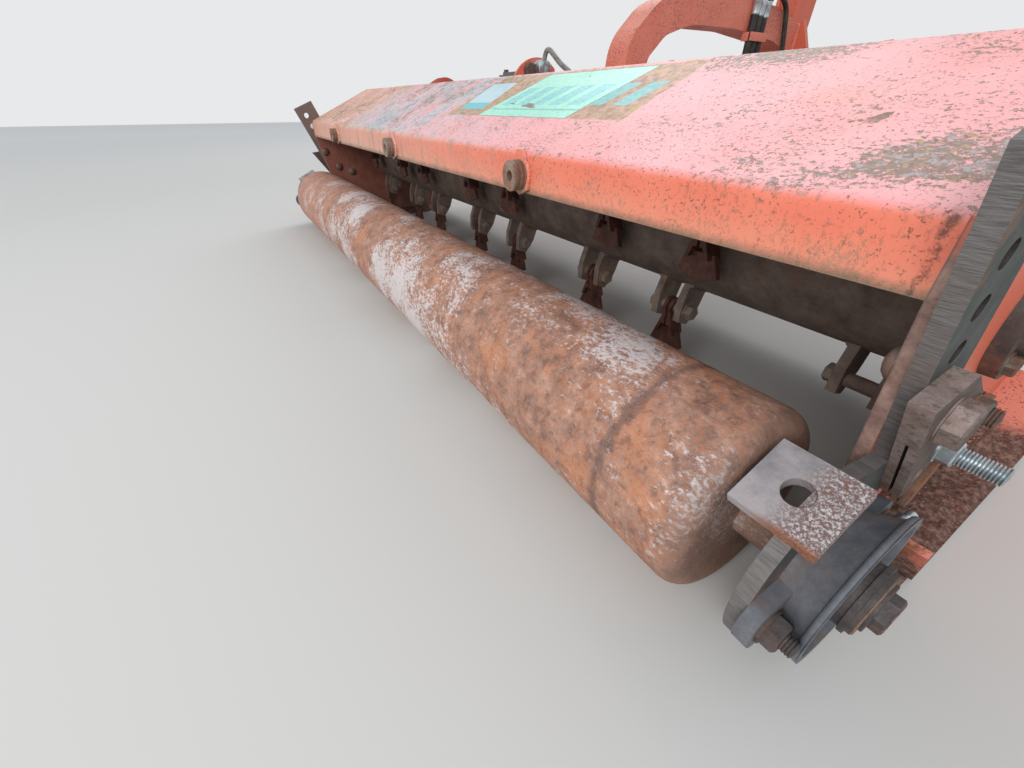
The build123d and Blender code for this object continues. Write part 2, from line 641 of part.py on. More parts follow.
# Swan neck: bent square tube from the head's pivot over the front beam to the carriage
CARRIAGE_PLATE = 14.0
CARRIAGE_PLATE_Y = RAIL_Y - RAIL_RADIUS - SLEEVE_WALL - CARRIAGE_PLATE - 6.0
NECK_LINE = (
    (TILT_Y, TILT_Z + 45),
    (TILT_Y + 4, TILT_Z + 85),
    (TILT_Y + 66, TILT_Z + 142),
    (TILT_Y + 160, TILT_Z + 170),
    (CARRIAGE_PLATE_Y - 266, TILT_Z + 172),
    (CARRIAGE_PLATE_Y - 96, TILT_Z + 156),
    (CARRIAGE_PLATE_Y + 20, TILT_Z + 123),
)
with BuildPart() as swan_neck:
    with BuildLine(Plane.YZ.offset(ARM_X)) as neck_path:
        FilletPolyline(*NECK_LINE, radius=(60.0, 90.0, 160.0, 300.0, 160.0))
    with BuildSketch(Plane(neck_path.line @ 0, x_dir=(1, 0, 0), z_dir=neck_path.line % 0)):
        Rectangle(NECK_WIDTH, NECK_DEPTH)
    sweep(path=neck_path.line)
    with Locations((ARM_X, CARRIAGE_PLATE_Y + 50, 550)):
        Box(2 * NECK_WIDTH, 100, 3 * NECK_DEPTH, mode=Mode.SUBTRACT)
    with BuildSketch(Plane((ARM_X, TILT_Y - 27, TILT_Z), x_dir=(-1, 0, 0), z_dir=(0, 1, 0))):
        Circle(TILT_BUSH_RADIUS)
        with Locations((0, 25)):
            Rectangle(NECK_WIDTH - 10, 50.0)
        Circle(TILT_PIN_RADIUS, mode=Mode.SUBTRACT)
    extrude(amount=54.0)
save(swan_neck, "swan_neck")

# Carriage: back plate and two sleeves that slide on the rails
CARRIAGE_HALF = SLEEVE_LENGTH / 2
CARRIAGE_TOP_Z = 592.0
with BuildPart() as carriage:
    with BuildSketch(Plane((ARM_X, CARRIAGE_PLATE_Y, 0), x_dir=(-1, 0, 0), z_dir=(0, 1, 0))):
        Polygon(
            (-CARRIAGE_HALF, SHIFT_Z - 35),
            (CARRIAGE_HALF, SHIFT_Z - 35),
            (CARRIAGE_HALF, RAIL_HIGH_Z),
            (NECK_WIDTH / 2 + 10, CARRIAGE_TOP_Z),
            (-NECK_WIDTH / 2 - 10, CARRIAGE_TOP_Z),
            (-CARRIAGE_HALF, RAIL_HIGH_Z),
            align=None,
        )
    extrude(amount=CARRIAGE_PLATE)
    for rail_z in (RAIL_LOW_Z, RAIL_HIGH_Z):
        with BuildSketch(Plane.YZ.offset(ARM_X - CARRIAGE_HALF)):
            with Locations((RAIL_Y, rail_z)):
                Circle(RAIL_RADIUS + SLEEVE_WALL)
            with Locations(((CARRIAGE_PLATE_Y + CARRIAGE_PLATE + RAIL_Y) / 2, rail_z)):
                Rectangle(RAIL_Y - CARRIAGE_PLATE_Y - CARRIAGE_PLATE, 44.0)
        extrude(amount=SLEEVE_LENGTH)
    for rail_z in (RAIL_LOW_Z, RAIL_HIGH_Z):
        with BuildSketch(Plane.YZ.offset(ARM_X - CARRIAGE_HALF)):
            with Locations((RAIL_Y, rail_z)):
                Circle(RAIL_RADIUS + RUNNING_FIT)
        extrude(amount=SLEEVE_LENGTH, mode=Mode.SUBTRACT)
    with Locations((ARM_X - CARRIAGE_HALF + 6, (CARRIAGE_PLATE_Y + RAIL_Y + 30) / 2, SHIFT_Z)):
        Box(12.0, RAIL_Y + 30 - CARRIAGE_PLATE_Y, 70.0)
save(carriage, "carriage")

# Slide rails: two ground bars between the rail plates
with BuildPart() as slide_rails:
    for rail_z in (RAIL_LOW_Z, RAIL_HIGH_Z):
        with BuildSketch(Plane.YZ.offset(RAIL_LEFT)):
            with Locations((RAIL_Y, rail_z)):
                Circle(RAIL_RADIUS)
        extrude(amount=RAIL_RIGHT - RAIL_LEFT)
save(slide_rails, "slide_rails")

# Headstock beam: square tube across the machine, open at its ends
MAST_TOP = LOWER_PIN_Z + MAST_HEIGHT
MAST_PLATE = 12.0
MAST_GAP = 58.0
MAST_RUN = 1400.0
MAST_ROUND = 34.0
LINK_PLATE = 16.0
LINK_PIN_LENGTH = 80.0
LINK_HALF = LOWER_PIN_SPAN / 2 - LINK_PIN_LENGTH
LINK_ROUND = 34.0
RAIL_PLATE_ROUND = 36.0
HITCH_WALL = 6.0
BEAM_LEFT = -480.0
BEAM_RIGHT = RAIL_RIGHT + RAIL_PLATE
with BuildPart() as headstock:
    with BuildSketch(Plane.YZ.offset(BEAM_LEFT)):
        with Locations((HITCH_Y, BEAM_Z)):
            Rectangle(BEAM, BEAM)
            Rectangle(BEAM - 2 * HITCH_WALL, BEAM - 2 * HITCH_WALL, mode=Mode.SUBTRACT)
    extrude(amount=BEAM_RIGHT - BEAM_LEFT)
save(headstock, "headstock")

# Rail plates: profiled plates welded to the beam, one at each end of the rails
with BuildPart() as rail_plates:
    for plate_x, rod_hole in ((RAIL_LEFT - RAIL_PLATE, True), (RAIL_RIGHT, False)):
        with BuildSketch(Plane.YZ.offset(plate_x)):
            low_z = SHIFT_Z if rod_hole else RAIL_LOW_Z
            with Locations((RAIL_Y, low_z), (RAIL_Y, RAIL_HIGH_Z), (HITCH_Y, BEAM_Z + BEAM / 2)):
                Circle(RAIL_PLATE_ROUND)
            with Locations((HITCH_Y - BEAM / 2, BEAM_Z)):
                Rectangle(20.0, BEAM)
            make_hull()
            with Locations((HITCH_Y, BEAM_Z)):
                Rectangle(BEAM, BEAM, mode=Mode.SUBTRACT)
            if rod_hole:
                with Locations((RAIL_Y, SHIFT_Z)):
                    Circle(SHIFT_ROD_RADIUS + 1, mode=Mode.SUBTRACT)
        extrude(amount=RAIL_PLATE)
save(rail_plates, "rail_plates")

# Mast: two plates standing on the beam, bored for the top link pin
with BuildPart() as mast:
    for way in (-1, 1):
        with BuildSketch(Plane.YZ.offset(HITCH_X + way * MAST_GAP / 2)):
            with Locations((LIP_Y + MAST_RUN, MAST_TOP)):
                Circle(MAST_ROUND)
            with Locations((HITCH_Y, BEAM_Z + BEAM / 2 + 5)):
                Rectangle(BEAM, 10.0)
            make_hull()
            with Locations((LIP_Y + MAST_RUN, MAST_TOP)):
                Circle(TOP_BORE_RADIUS, mode=Mode.SUBTRACT)
        extrude(amount=way * MAST_PLATE)
save(mast, "mast")

# Link plates: shaped plates on the beam that carry the lower link pins
with BuildPart() as link_plates:
    for way in (-1, 1):
        with BuildSketch(Plane.YZ.offset(HITCH_X + way * LINK_HALF)):
            with Locations((LIP_Y + LOWER_PIN_RUN, LOWER_PIN_Z)):
                Circle(LINK_ROUND)
            with Locations((HITCH_Y, BEAM_Z)):
                Rectangle(BEAM, BEAM)
            make_hull()
            with Locations((HITCH_Y, BEAM_Z)):
                Rectangle(BEAM, BEAM, mode=Mode.SUBTRACT)
        extrude(amount=-way * LINK_PLATE)
save(link_plates, "link_plates")

# Lower link pins, one on each link plate
with BuildPart() as lower_pins:
    for way in (-1, 1):
        with BuildSketch(Plane.YZ.offset(HITCH_X + way * LINK_HALF)):
            with Locations((LIP_Y + LOWER_PIN_RUN, LOWER_PIN_Z)):
                Circle(LOWER_PIN_RADIUS)
        extrude(amount=way * LINK_PIN_LENGTH)
save(lower_pins, "lower_pins")

# Mast stay: web plate that ties the two mast plates
STAY_LOW_Z = 560.0
STAY_HIGH_Z = 780.0
STAY_PLATE = 10.0
with BuildPart() as mast_stay:
    with Locations((HITCH_X, HITCH_Y + 8, (STAY_LOW_Z + STAY_HIGH_Z) / 2)):
        Box(MAST_GAP, STAY_PLATE, STAY_HIGH_Z - STAY_LOW_Z)
save(mast_stay, "mast_stay")

# Shift cylinder: barrel on the far rail plate, rod on the carriage
SHIFT_BARREL_LENGTH = 490.0
with BuildPart() as shift_barrel:
    with BuildSketch(Plane.YZ.offset(RAIL_LEFT - RAIL_PLATE)):
        with Locations((RAIL_Y, SHIFT_Z)):
            Circle(SHIFT_BARREL_RADIUS)
    extrude(amount=-SHIFT_BARREL_LENGTH)
    with BuildSketch(Plane.YZ.offset(RAIL_LEFT - RAIL_PLATE)):
        with Locations((RAIL_Y, SHIFT_Z)):
            Circle(SHIFT_ROD_RADIUS + RUNNING_FIT)
    extrude(amount=-SHIFT_BARREL_LENGTH + 12, mode=Mode.SUBTRACT)
save(shift_barrel, "shift_barrel")
SHIFT_ROD_TUCK = 30.0
with BuildPart() as shift_rod:
    with BuildSketch(Plane.YZ.offset(ARM_X - CARRIAGE_HALF)):
        with Locations((RAIL_Y, SHIFT_Z)):
            Circle(SHIFT_ROD_RADIUS)
    extrude(amount=RAIL_LEFT - RAIL_PLATE - SHIFT_ROD_TUCK - ARM_X + CARRIAGE_HALF)
save(shift_rod, "shift_rod")

# Tilt cylinder: barrel on the neck's crank, rod to the beam's lug
TILT_ROD_RADIUS = 16.0
span = (ROD_EYE[0] - CRANK_EYE[0], ROD_EYE[1] - CRANK_EYE[1])
span_length = math.hypot(*span)
span_dir = (span[0] / span_length, 0, span[1] / span_length)
TILT_BARREL_LENGTH = 490.0
crank_point = Vector(CRANK_EYE[0], CLEVIS_Y, CRANK_EYE[1])
rod_point = Vector(ROD_EYE[0], CLEVIS_Y, ROD_EYE[1])
reach = Vector(*span_dir)
CROSS_TUBE_RADIUS = 26.0
CROSS_TUBE = CRANK_GAP - 4.0
cross_back = crank_point - Vector(0, CROSS_TUBE / 2, 0)
bore_start = crank_point + reach * (CROSS_TUBE_RADIUS + 20)
with BuildPart() as tilt_barrel:
    with BuildSketch(Plane(cross_back, x_dir=(-1, 0, 0), z_dir=(0, 1, 0))):
        Circle(CROSS_TUBE_RADIUS)
    extrude(amount=CROSS_TUBE)
    with BuildSketch(Plane(crank_point + reach * 16, x_dir=(0, 1, 0), z_dir=span_dir)):
        Circle(TILT_BARREL_RADIUS)
    extrude(amount=TILT_BARREL_LENGTH)
    with BuildSketch(Plane(bore_start, x_dir=(0, 1, 0), z_dir=span_dir)):
        Circle(TILT_ROD_RADIUS + RUNNING_FIT)
    extrude(amount=TILT_BARREL_LENGTH, mode=Mode.SUBTRACT)
    with BuildSketch(Plane(cross_back, x_dir=(-1, 0, 0), z_dir=(0, 1, 0))):
        Circle(CLEVIS_PIN + RUNNING_FIT)
    extrude(amount=CROSS_TUBE, mode=Mode.SUBTRACT)
save(tilt_barrel, "tilt_barrel")
ROD_NECK = 40.0
ROD_LENGTH = span_length - ROD_NECK - 190.0
back_dir = (-span_dir[0], 0, -span_dir[2])
with BuildPart() as tilt_rod:
    with BuildSketch(Plane(rod_point - Vector(0, EYE_WIDTH / 2, 0), x_dir=(-1, 0, 0), z_dir=(0, 1, 0))):
        Circle(EYE_RADIUS)
    extrude(amount=EYE_WIDTH)
    with BuildSketch(Plane(rod_point, x_dir=(0, 1, 0), z_dir=back_dir)):
        Rectangle(EYE_WIDTH, 30.0)
    extrude(amount=ROD_NECK)
    with BuildSketch(Plane(rod_point - reach * ROD_NECK, x_dir=(0, 1, 0), z_dir=back_dir)):
        Circle(TILT_ROD_RADIUS)
    extrude(amount=ROD_LENGTH)
save(tilt_rod, "tilt_rod")

# Hose block on the neck's near side
BLOCK_RUN = 938.0
BLOCK_X = ARM_X + 22
BLOCK_DEPTH = 62.0
crest = NECK_LINE[4]
descent = NECK_LINE[5]
fall = math.atan2(descent[1] - crest[1], descent[0] - crest[0])
block_y = LIP_Y + BLOCK_RUN
block_seat_z = crest[1] + (block_y - crest[0]) * math.tan(fall) + NECK_DEPTH / 2 / math.cos(fall)
block_up = (0, -math.sin(fall), math.cos(fall))
with BuildPart() as hose_block:
    with BuildSketch(Plane((BLOCK_X, block_y, block_seat_z), x_dir=(1, 0, 0), z_dir=block_up)):
        Rectangle(56.0, BLOCK_DEPTH)
    extrude(amount=40.0)
save(hose_block, "hose_block")

# Hoses: three from the block down the neck's near side and one from its front union,
# clipped to the neck and ending in the carriage's back plate
HOSE_RADIUS = 8.0
HOSE_BEND = 90.0
HOSE_PITCH = 21.0
HOSE_START = 1.0
HOSE_LOW_Z = 424.0
SLIM_HOSE_RADIUS = 6.0
SLIM_HOSE_BEND = 60.0
SLIM_HOSE_Z = 476.0
UNION_UP = 22.0
HOSE_X = ARM_X + NECK_WIDTH / 2 + HOSE_RADIUS + 1
hose_lines = []
for place in (-1, 0, 1):
    hose_y = block_y + place * HOSE_PITCH
    top = block_seat_z + (hose_y - block_y) * math.tan(fall) - HOSE_START
    turn_z = HOSE_LOW_Z + place * HOSE_PITCH
    line = ((hose_y, top), (hose_y, turn_z), (CARRIAGE_PLATE_Y, turn_z))
    hose_lines.append((line, HOSE_RADIUS, HOSE_BEND))
union_out = BLOCK_DEPTH / 2 + HOSE_START
union_y = block_y + union_out * math.cos(fall) - UNION_UP * math.sin(fall)
union_z = block_seat_z + union_out * math.sin(fall) + UNION_UP * math.cos(fall)
slim_line = (
    (union_y, union_z),
    (union_y + 70, union_z - 16),
    (CARRIAGE_PLATE_Y - 45, SLIM_HOSE_Z),
    (CARRIAGE_PLATE_Y, SLIM_HOSE_Z),
)
hose_lines.append((slim_line, SLIM_HOSE_RADIUS, SLIM_HOSE_BEND))
with BuildPart() as hoses:
    for line, hose_radius, bend in hose_lines:
        with BuildLine(Plane.YZ.offset(HOSE_X)) as hose_path:
            FilletPolyline(*line, radius=bend)
        with BuildSketch(Plane(hose_path.line @ 0, x_dir=(1, 0, 0), z_dir=hose_path.line % 0)):
            Circle(hose_radius)
        sweep(path=hose_path.line)
        print("hose", hose_radius, "bend", bend)
save(hoses, "hoses")

# Parking stand: socket on the beam and a square leg with a foot
STAND_X = -445.0
STAND_TUBE = 50.0
SOCKET_WALL = 6.0
SOCKET_Y = HITCH_Y - BEAM / 2 - STAND_TUBE / 2 - SOCKET_WALL
with BuildPart() as stand_socket:
    with BuildSketch(Plane.XY.offset(BEAM_Z - 60)):
        with Locations((STAND_X, SOCKET_Y)):
            Rectangle(STAND_TUBE + 2 * SOCKET_WALL, STAND_TUBE + 2 * SOCKET_WALL)
            Rectangle(STAND_TUBE + 1, STAND_TUBE + 1, mode=Mode.SUBTRACT)
    extrude(amount=130.0)
save(stand_socket, "stand_socket")
FOOT_LENGTH = 130.0
FOOT_DEPTH = 104.0
FOOT_AHEAD = 12.0
FOOT_PLATE = 8.0
with BuildPart() as stand_leg:
    with BuildSketch(Plane.XY):
        with Locations((STAND_X, SOCKET_Y + FOOT_AHEAD)):
            Rectangle(FOOT_LENGTH, FOOT_DEPTH)
    extrude(amount=FOOT_PLATE)
    with BuildSketch(Plane.XY.offset(FOOT_PLATE)):
        with Locations((STAND_X, SOCKET_Y)):
            Rectangle(STAND_TUBE, STAND_TUBE)
    extrude(amount=500.0)
save(stand_leg, "stand_leg")
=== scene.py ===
import math
import random
from functools import partial

import bmesh
import bpy
from mathutils import Matrix, Vector, noise as turbulence


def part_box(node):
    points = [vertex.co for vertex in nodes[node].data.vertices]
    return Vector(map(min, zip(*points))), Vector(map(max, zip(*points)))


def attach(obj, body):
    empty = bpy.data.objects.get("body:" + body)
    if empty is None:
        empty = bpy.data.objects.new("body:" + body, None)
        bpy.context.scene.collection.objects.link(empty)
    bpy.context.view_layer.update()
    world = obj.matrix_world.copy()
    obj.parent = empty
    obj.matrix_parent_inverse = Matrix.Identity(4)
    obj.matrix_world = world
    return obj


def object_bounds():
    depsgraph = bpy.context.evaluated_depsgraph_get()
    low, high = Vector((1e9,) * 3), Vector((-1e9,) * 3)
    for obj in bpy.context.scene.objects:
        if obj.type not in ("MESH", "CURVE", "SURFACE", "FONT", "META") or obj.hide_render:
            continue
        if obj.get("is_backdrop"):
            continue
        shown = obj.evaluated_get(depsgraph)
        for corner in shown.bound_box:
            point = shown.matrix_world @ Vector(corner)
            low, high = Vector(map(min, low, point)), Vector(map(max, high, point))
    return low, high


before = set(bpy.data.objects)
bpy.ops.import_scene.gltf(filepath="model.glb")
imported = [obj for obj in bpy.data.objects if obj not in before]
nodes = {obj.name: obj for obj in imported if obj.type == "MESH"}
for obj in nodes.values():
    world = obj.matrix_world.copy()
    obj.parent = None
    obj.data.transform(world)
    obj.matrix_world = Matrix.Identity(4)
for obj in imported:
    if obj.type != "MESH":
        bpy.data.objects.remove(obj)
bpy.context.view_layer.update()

# The viewpoint: a wide lens held low beside the near end of the roller, over a plain
# pale floor, under an even overcast-like light. None of it belongs to the machine.
LIP_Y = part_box("hood")[0].y
EYE_SIDE, EYE_BACK, EYE_HEIGHT = 0.9954, 0.333, 0.399
eye = Vector((EYE_SIDE, LIP_Y - EYE_BACK, EYE_HEIGHT))
gaze = Vector((-0.7128, 0.4386, -0.5473)).normalized()
side = gaze.cross(Vector((0, 0, 1))).normalized()


def new_object(name, data):
    """An object put in the scene."""
    made = bpy.data.objects.new(name, data)
    bpy.context.scene.collection.objects.link(made)
    return made


lens = bpy.data.cameras.new("viewpoint")
lens.lens = 15.0
lens.sensor_width = 36.0
lens.clip_start = 0.005
viewpoint = new_object("viewpoint", lens)
turned_view = Matrix((side, side.cross(gaze), -gaze)).transposed().to_4x4()
viewpoint.matrix_world = Matrix.Translation(eye) @ turned_view
bpy.context.scene.camera = viewpoint


def srgb(red, green, blue):
    """A colour from its 0 to 255 screen values."""
    parts = [c / 255 for c in (red, green, blue)]
    return [c / 12.92 if c <= 0.04045 else ((c + 0.055) / 1.055) ** 2.4 for c in parts] + [1.0]


def add_node(tree, kind, inputs=None, **settings):
    """One node, with its settings and its input values or links."""
    made = tree.nodes.new(kind)
    for key, value in settings.items():
        setattr(made, key, value)
    for key, value in (inputs or {}).items():
        if isinstance(value, bpy.types.NodeSocket):
            tree.links.new(value, made.inputs[key])
        else:
            made.inputs[key].default_value = value
    return made


def local_place(tree):
    """The shaded place in its piece's own frame."""
    return add_node(tree, "ShaderNodeTexCoord").outputs["Object"]


def read(kind, values, output=0, **settings):
    """One output of a new node, in the tree that its linked inputs lie in."""
    tree = next(v.id_data for v in values.values() if isinstance(v, bpy.types.NodeSocket))
    return add_node(tree, kind, values, **settings).outputs[output]


def ramp(value, low, high, start=0.0, end=1.0):
    """A value moved from the range low to high onto start to end, and held there."""
    return read("ShaderNodeMapRange", {0: value, 1: low, 2: high, 3: start, 4: end}, clamp=True)


def maths(operation, *values):
    """One step of arithmetic."""
    return read("ShaderNodeMath", dict(enumerate(values)), operation=operation)


times, plus, minus, madd = [
    partial(maths, word) for word in ("MULTIPLY", "ADD", "SUBTRACT", "MULTIPLY_ADD")]


def mix(share, first, second, how="MIX"):
    """Two colours mixed by a share."""
    return read("ShaderNodeMix", {0: share, 6: first, 7: second}, 2, data_type="RGBA", blend_type=how)


FLOOR_REACH = 14.0
floor_mesh = bpy.data.meshes.new("floor")
floor_corners = [(x * FLOOR_REACH, y * FLOOR_REACH, 0) for x, y in ((-1, -1), (1, -1), (1, 1), (-1, 1))]
floor_mesh.from_pydata(floor_corners, [], [(0, 1, 2, 3)])
floor = new_object("floor", floor_mesh)
floor_paint = bpy.data.materials.new("pale_floor")
floor_paint.use_nodes = True
floor_tree = floor_paint.node_tree
distance = read("ShaderNodeVectorMath", {0: local_place(floor_tree)}, "Value", operation="LENGTH")
floor_shader = floor_tree.nodes["Principled BSDF"]
floor_tone = mix(ramp(distance, 2.5, 9.0), srgb(214, 213, 209), srgb(246, 246, 244))
floor_tree.links.new(floor_tone, floor_shader.inputs["Base Color"])
floor_shader.inputs["Roughness"].default_value = 0.9
floor_shader.inputs["Specular IOR Level"].default_value = 0.15
floor_mesh.materials.append(floor_paint)
floor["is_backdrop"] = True

sky = bpy.data.worlds.new("soft_sky")
sky.use_nodes = True
sky_tree = sky.node_tree
sky_light = sky_tree.nodes["Background"]
sky_light.inputs["Color"].default_value = srgb(238, 243, 250)
sky_light.inputs["Strength"].default_value = 0.62
backdrop = add_node(sky_tree, "ShaderNodeBackground", {"Color": srgb(232, 233, 234), "Strength": 1.0})
rays = add_node(sky_tree, "ShaderNodeLightPath").outputs
seen = maths("ADD", rays["Is Camera Ray"], rays["Is Glossy Ray"])
seen = read("ShaderNodeMath", {0: seen, 1: rays["Is Transmission Ray"]}, operation="ADD", use_clamp=True)
choice = add_node(sky_tree, "ShaderNodeMixShader", {0: seen})
sky_tree.links.new(sky_light.outputs[0], choice.inputs[1])
sky_tree.links.new(backdrop.outputs[0], choice.inputs[2])
sky_tree.links.new(choice.outputs[0], sky_tree.nodes["World Output"].inputs["Surface"])
bpy.context.scene.world = sky
for lamp_name, place, power, size in (
    ("overcast_front", (2.4, -4.4, 2.9), 150.0, 3.0),
    ("overcast_back", (-2.8, 3.0, 4.5), 110.0, 4.0),
):
    lamp = bpy.data.lights.new(lamp_name, "AREA")
    lamp.energy = power
    lamp.size = size
    holder = new_object(lamp_name, lamp)
    holder.matrix_world = Vector(place).to_track_quat("Z", "Y").to_matrix().to_4x4()
    holder.location = place
bpy.context.scene.view_settings.view_transform = "Standard"


# Hitch frame: a square tube across the machine with profiled plates and a mast welded to it,
# all flame-cut steel sprayed orange, now dulled, speckled with dirt and rusting at its edges.
def new_group(name, inputs, outputs, kind="ShaderNodeTree"):
    """An empty node group with named inputs, some with a value, and named outputs."""
    tree = bpy.data.node_groups.new(name, kind)
    for label, socket, *value in inputs:
        made = tree.interface.new_socket(label, in_out="INPUT", socket_type="NodeSocket" + socket)
        if value:
            made.default_value = value[0]
    for label, socket in outputs:
        tree.interface.new_socket(label, in_out="OUTPUT", socket_type="NodeSocket" + socket)
    return tree, tree.nodes.new("NodeGroupInput").outputs, tree.nodes.new("NodeGroupOutput").inputs


def give(result, *values):
    """Lead values into a group's outputs, in their order."""
    for value, socket in zip(values, result):
        value.id_data.links.new(value, socket)


def noise(vector, scale, detail=3.0, roughness=0.55, distortion=0.0):
    """The value of a noise texture read at a place."""
    labels = ("Vector", "Scale", "Detail", "Roughness", "Distortion")
    return read("ShaderNodeTexNoise", dict(zip(labels, (vector, scale, detail, roughness, distortion))),
                "Fac")


def coat(colour, tone, mask, weight):
    """A colour with a tone laid over it where a mask is, as thick as a weight."""
    return mix(times(mask, weight), colour, tone)


def stretched(vector, scale):
    """A place with its axes scaled, for streaks."""
    return read("ShaderNodeMapping", {"Vector": vector, "Scale": scale})


def split(vector):
    """A vector's three parts, by their letters."""
    return add_node(vector.id_data, "ShaderNodeSeparateXYZ", {0: vector}).outputs


def normal_in(tree):
    """The way that the shaded place faces."""
    return add_node(tree, "ShaderNodeNewGeometry").outputs["Normal"]


weather, given, result = new_group("weathering",
                                   [("Paint", "Color", srgb(232, 128, 104)),
                                    ("Bleached", "Color", srgb(240, 180, 182)),
                                    ("Dirt", "Color", srgb(96, 82, 70)),
                                    ("Rust", "Color", srgb(112, 66, 46)), ("Bleaching", "Float", 0.8),
                                    ("Specks", "Float", 0.5), ("Lichen", "Float", 0.5),
                                    ("Rusting", "Float", 0.2)],
                                   [("Color", "Color"), ("Roughness", "Float"), ("Height", "Float")])
spot = local_place(weather)
skyward = ramp(split(normal_in(weather))["Z"], 0.25, 0.8)
broad = ramp(noise(spot, 2.6, 4.0), 0.25, 0.62, 0.55, 1.0)
bleaching = times(times(skyward, broad), given["Bleaching"])
tint = mix(bleaching, given["Paint"], given["Bleached"])
mottle = ramp(noise(spot, 14.0, 5.0), 0.4, 0.75, 0.0, 0.3)
tint = mix(mottle, tint, given["Dirt"], "SOFT_LIGHT")
crumbs = noise(spot, 330.0, 3.0, 0.7)
crowd = ramp(noise(spot, 9.0, 4.0), 0.32, 0.68, 0.02, 0.11)
crumbs = plus(crumbs, times(crowd, given["Specks"]))
specks = ramp(crumbs, 0.645, 0.7)
lichen_edge = noise(spot, 75.0, 6.0, 0.7)
patches = ramp(noise(spot, 7.5, 5.0, 0.6, 0.4), 0.5, 0.7)
growth = plus(lichen_edge, times(patches, 0.22))
growth = plus(growth, madd(given["Lichen"], 0.2, -0.2))
lichen = ramp(growth, 0.62, 0.67)
lichen = times(lichen, madd(skyward, 0.8, 0.2))
crust_tone = ramp(noise(spot, 34.0, 3.0), 0.42, 0.58)
crust = mix(crust_tone, srgb(122, 120, 104), srgb(176, 158, 132))
ochre = ramp(noise(spot, 22.0, 2.0), 0.6, 0.66)
crust = mix(ochre, crust, srgb(178, 158, 84))
rust_line = times(given["Rusting"], 0.3)
rust_line = plus(noise(spot, 6.0, 9.0, 0.68), rust_line)
rust_mask = ramp(rust_line, 0.66, 0.71)
rust_tone = mix(noise(spot, 60.0, 4.0), given["Rust"], srgb(150, 96, 66))
tint = coat(tint, given["Dirt"], specks, 0.75)
tint = coat(tint, crust, lichen, 0.85)
tint = mix(rust_mask, tint, rust_tone)
cover = maths("MAXIMUM", lichen, rust_mask)
cover = plus(cover, times(specks, 0.4))
relief = times(specks, 0.35)
relief = madd(lichen, 0.9, relief)
relief = madd(rust_mask, -0.3, relief)
relief = madd(noise(spot, 120.0, 3.0), 0.3, relief)
give(result, tint, ramp(cover, 0.0, 1.0, 0.5, 0.92), relief)


def new_finish(name, metallic=0.0, specular=0.5):
    """An empty material and its node tree."""
    finish = bpy.data.materials.new(name)
    finish.use_nodes = True
    shader = finish.node_tree.nodes["Principled BSDF"]
    shader.inputs["Metallic"].default_value = metallic
    shader.inputs["Specular IOR Level"].default_value = specular
    return finish, finish.node_tree


def set_surface(tree, colour, roughness, height, strength=0.5, depth=0.0012):
    """Lead a colour, a roughness and a height into a material's shader."""
    bump = add_node(tree, "ShaderNodeBump", {"Height": height, "Strength": strength, "Distance": depth})
    shader = tree.nodes["Principled BSDF"]
    leads = {"Base Color": colour, "Roughness": roughness, "Normal": bump.outputs["Normal"]}
    for label, value in leads.items():
        tree.links.new(value, shader.inputs[label])


def weathered(tree, *amounts):
    """The weathering group, placed in a material with its own colours and amounts."""
    labels = ("Paint", "Bleached", "Bleaching", "Specks", "Lichen", "Rusting")
    return add_node(tree, "ShaderNodeGroup", dict(zip(labels, amounts)), node_tree=weather).outputs


def painted(name, *amounts):
    """A worn paint finish with its own colours and amounts of wear."""
    finish, tree = new_finish(name)
    wear = weathered(tree, *amounts)
    set_surface(tree, wear["Color"], wear["Roughness"], wear["Height"])
    return finish


def finish_nodes(finish, *names):
    """Give carried-over pieces their finish."""
    for name in names:
        for holder in nodes[name].material_slots:
            holder.material = finish


frame_orange = painted("frame_orange", srgb(208, 104, 78), srgb(224, 152, 132), 0.55, 0.6, 0.4, 0.1)
finish_nodes(frame_orange, "headstock", "rail_plates", "mast", "link_plates", "mast_stay")


def place_piece(name, mesh, body, finish, sharp=0.6):
    """Put a finished mesh in the scene on its body, shaded smooth up to an angle."""
    mesh.name = name
    mesh.materials.clear()
    mesh.materials.append(finish)
    mesh.shade_smooth()
    mesh.set_sharp_from_angle(angle=sharp)
    piece = new_object(name, mesh)
    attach(piece, body)
    return piece


# Welds: one pass of weld metal runs along each joint of the plates, rippled where the welder
# stepped, and painted over with the rest of the frame.
bead_tree, bead_given, bead_result = new_group(
    "weld_bead",
    [("Geometry", "Geometry"), ("Bead", "Float"), ("Step", "Float"), ("Finish", "Material")],
    [("Geometry", "Geometry")], "GeometryNodeTree")
path = read("GeometryNodeMeshToCurve", {"Mesh": bead_given["Geometry"]})
path = read("GeometryNodeResampleCurve", {"Curve": path, "Length": bead_given["Step"]}, mode="LENGTH")
place = add_node(bead_tree, "GeometryNodeInputPosition").outputs[0]
count = add_node(bead_tree, "GeometryNodeInputIndex").outputs[0]
uneven = read("ShaderNodeTexNoise", {"Vector": place, "Scale": 90.0}, "Fac")
swell = madd(uneven, 0.5, madd(maths("PINGPONG", count, 1.0), 0.22, 0.62))
profile = read("GeometryNodeCurvePrimitiveCircle", {"Resolution": 8, "Radius": bead_given["Bead"]})
bead = read("GeometryNodeCurveToMesh",
            {"Curve": path, "Profile Curve": profile, "Scale": swell, "Fill Caps": True})


def end_tree(grown, given, result):
    """Close a geometry tree: its copies made real, in its finish."""
    grown = read("GeometryNodeRealizeInstances", {"Geometry": grown})
    give(result, read("GeometryNodeSetMaterial", {"Geometry": grown, "Material": given["Finish"]}))


end_tree(bead, bead_given, bead_result)


def as_mesh(holder):
    """What an object comes to with its modifiers, as a plain mesh; the object goes."""
    bpy.context.view_layer.update()
    mesh = bpy.data.meshes.new_from_object(holder.evaluated_get(bpy.context.evaluated_depsgraph_get()))
    bpy.data.objects.remove(holder)
    return mesh


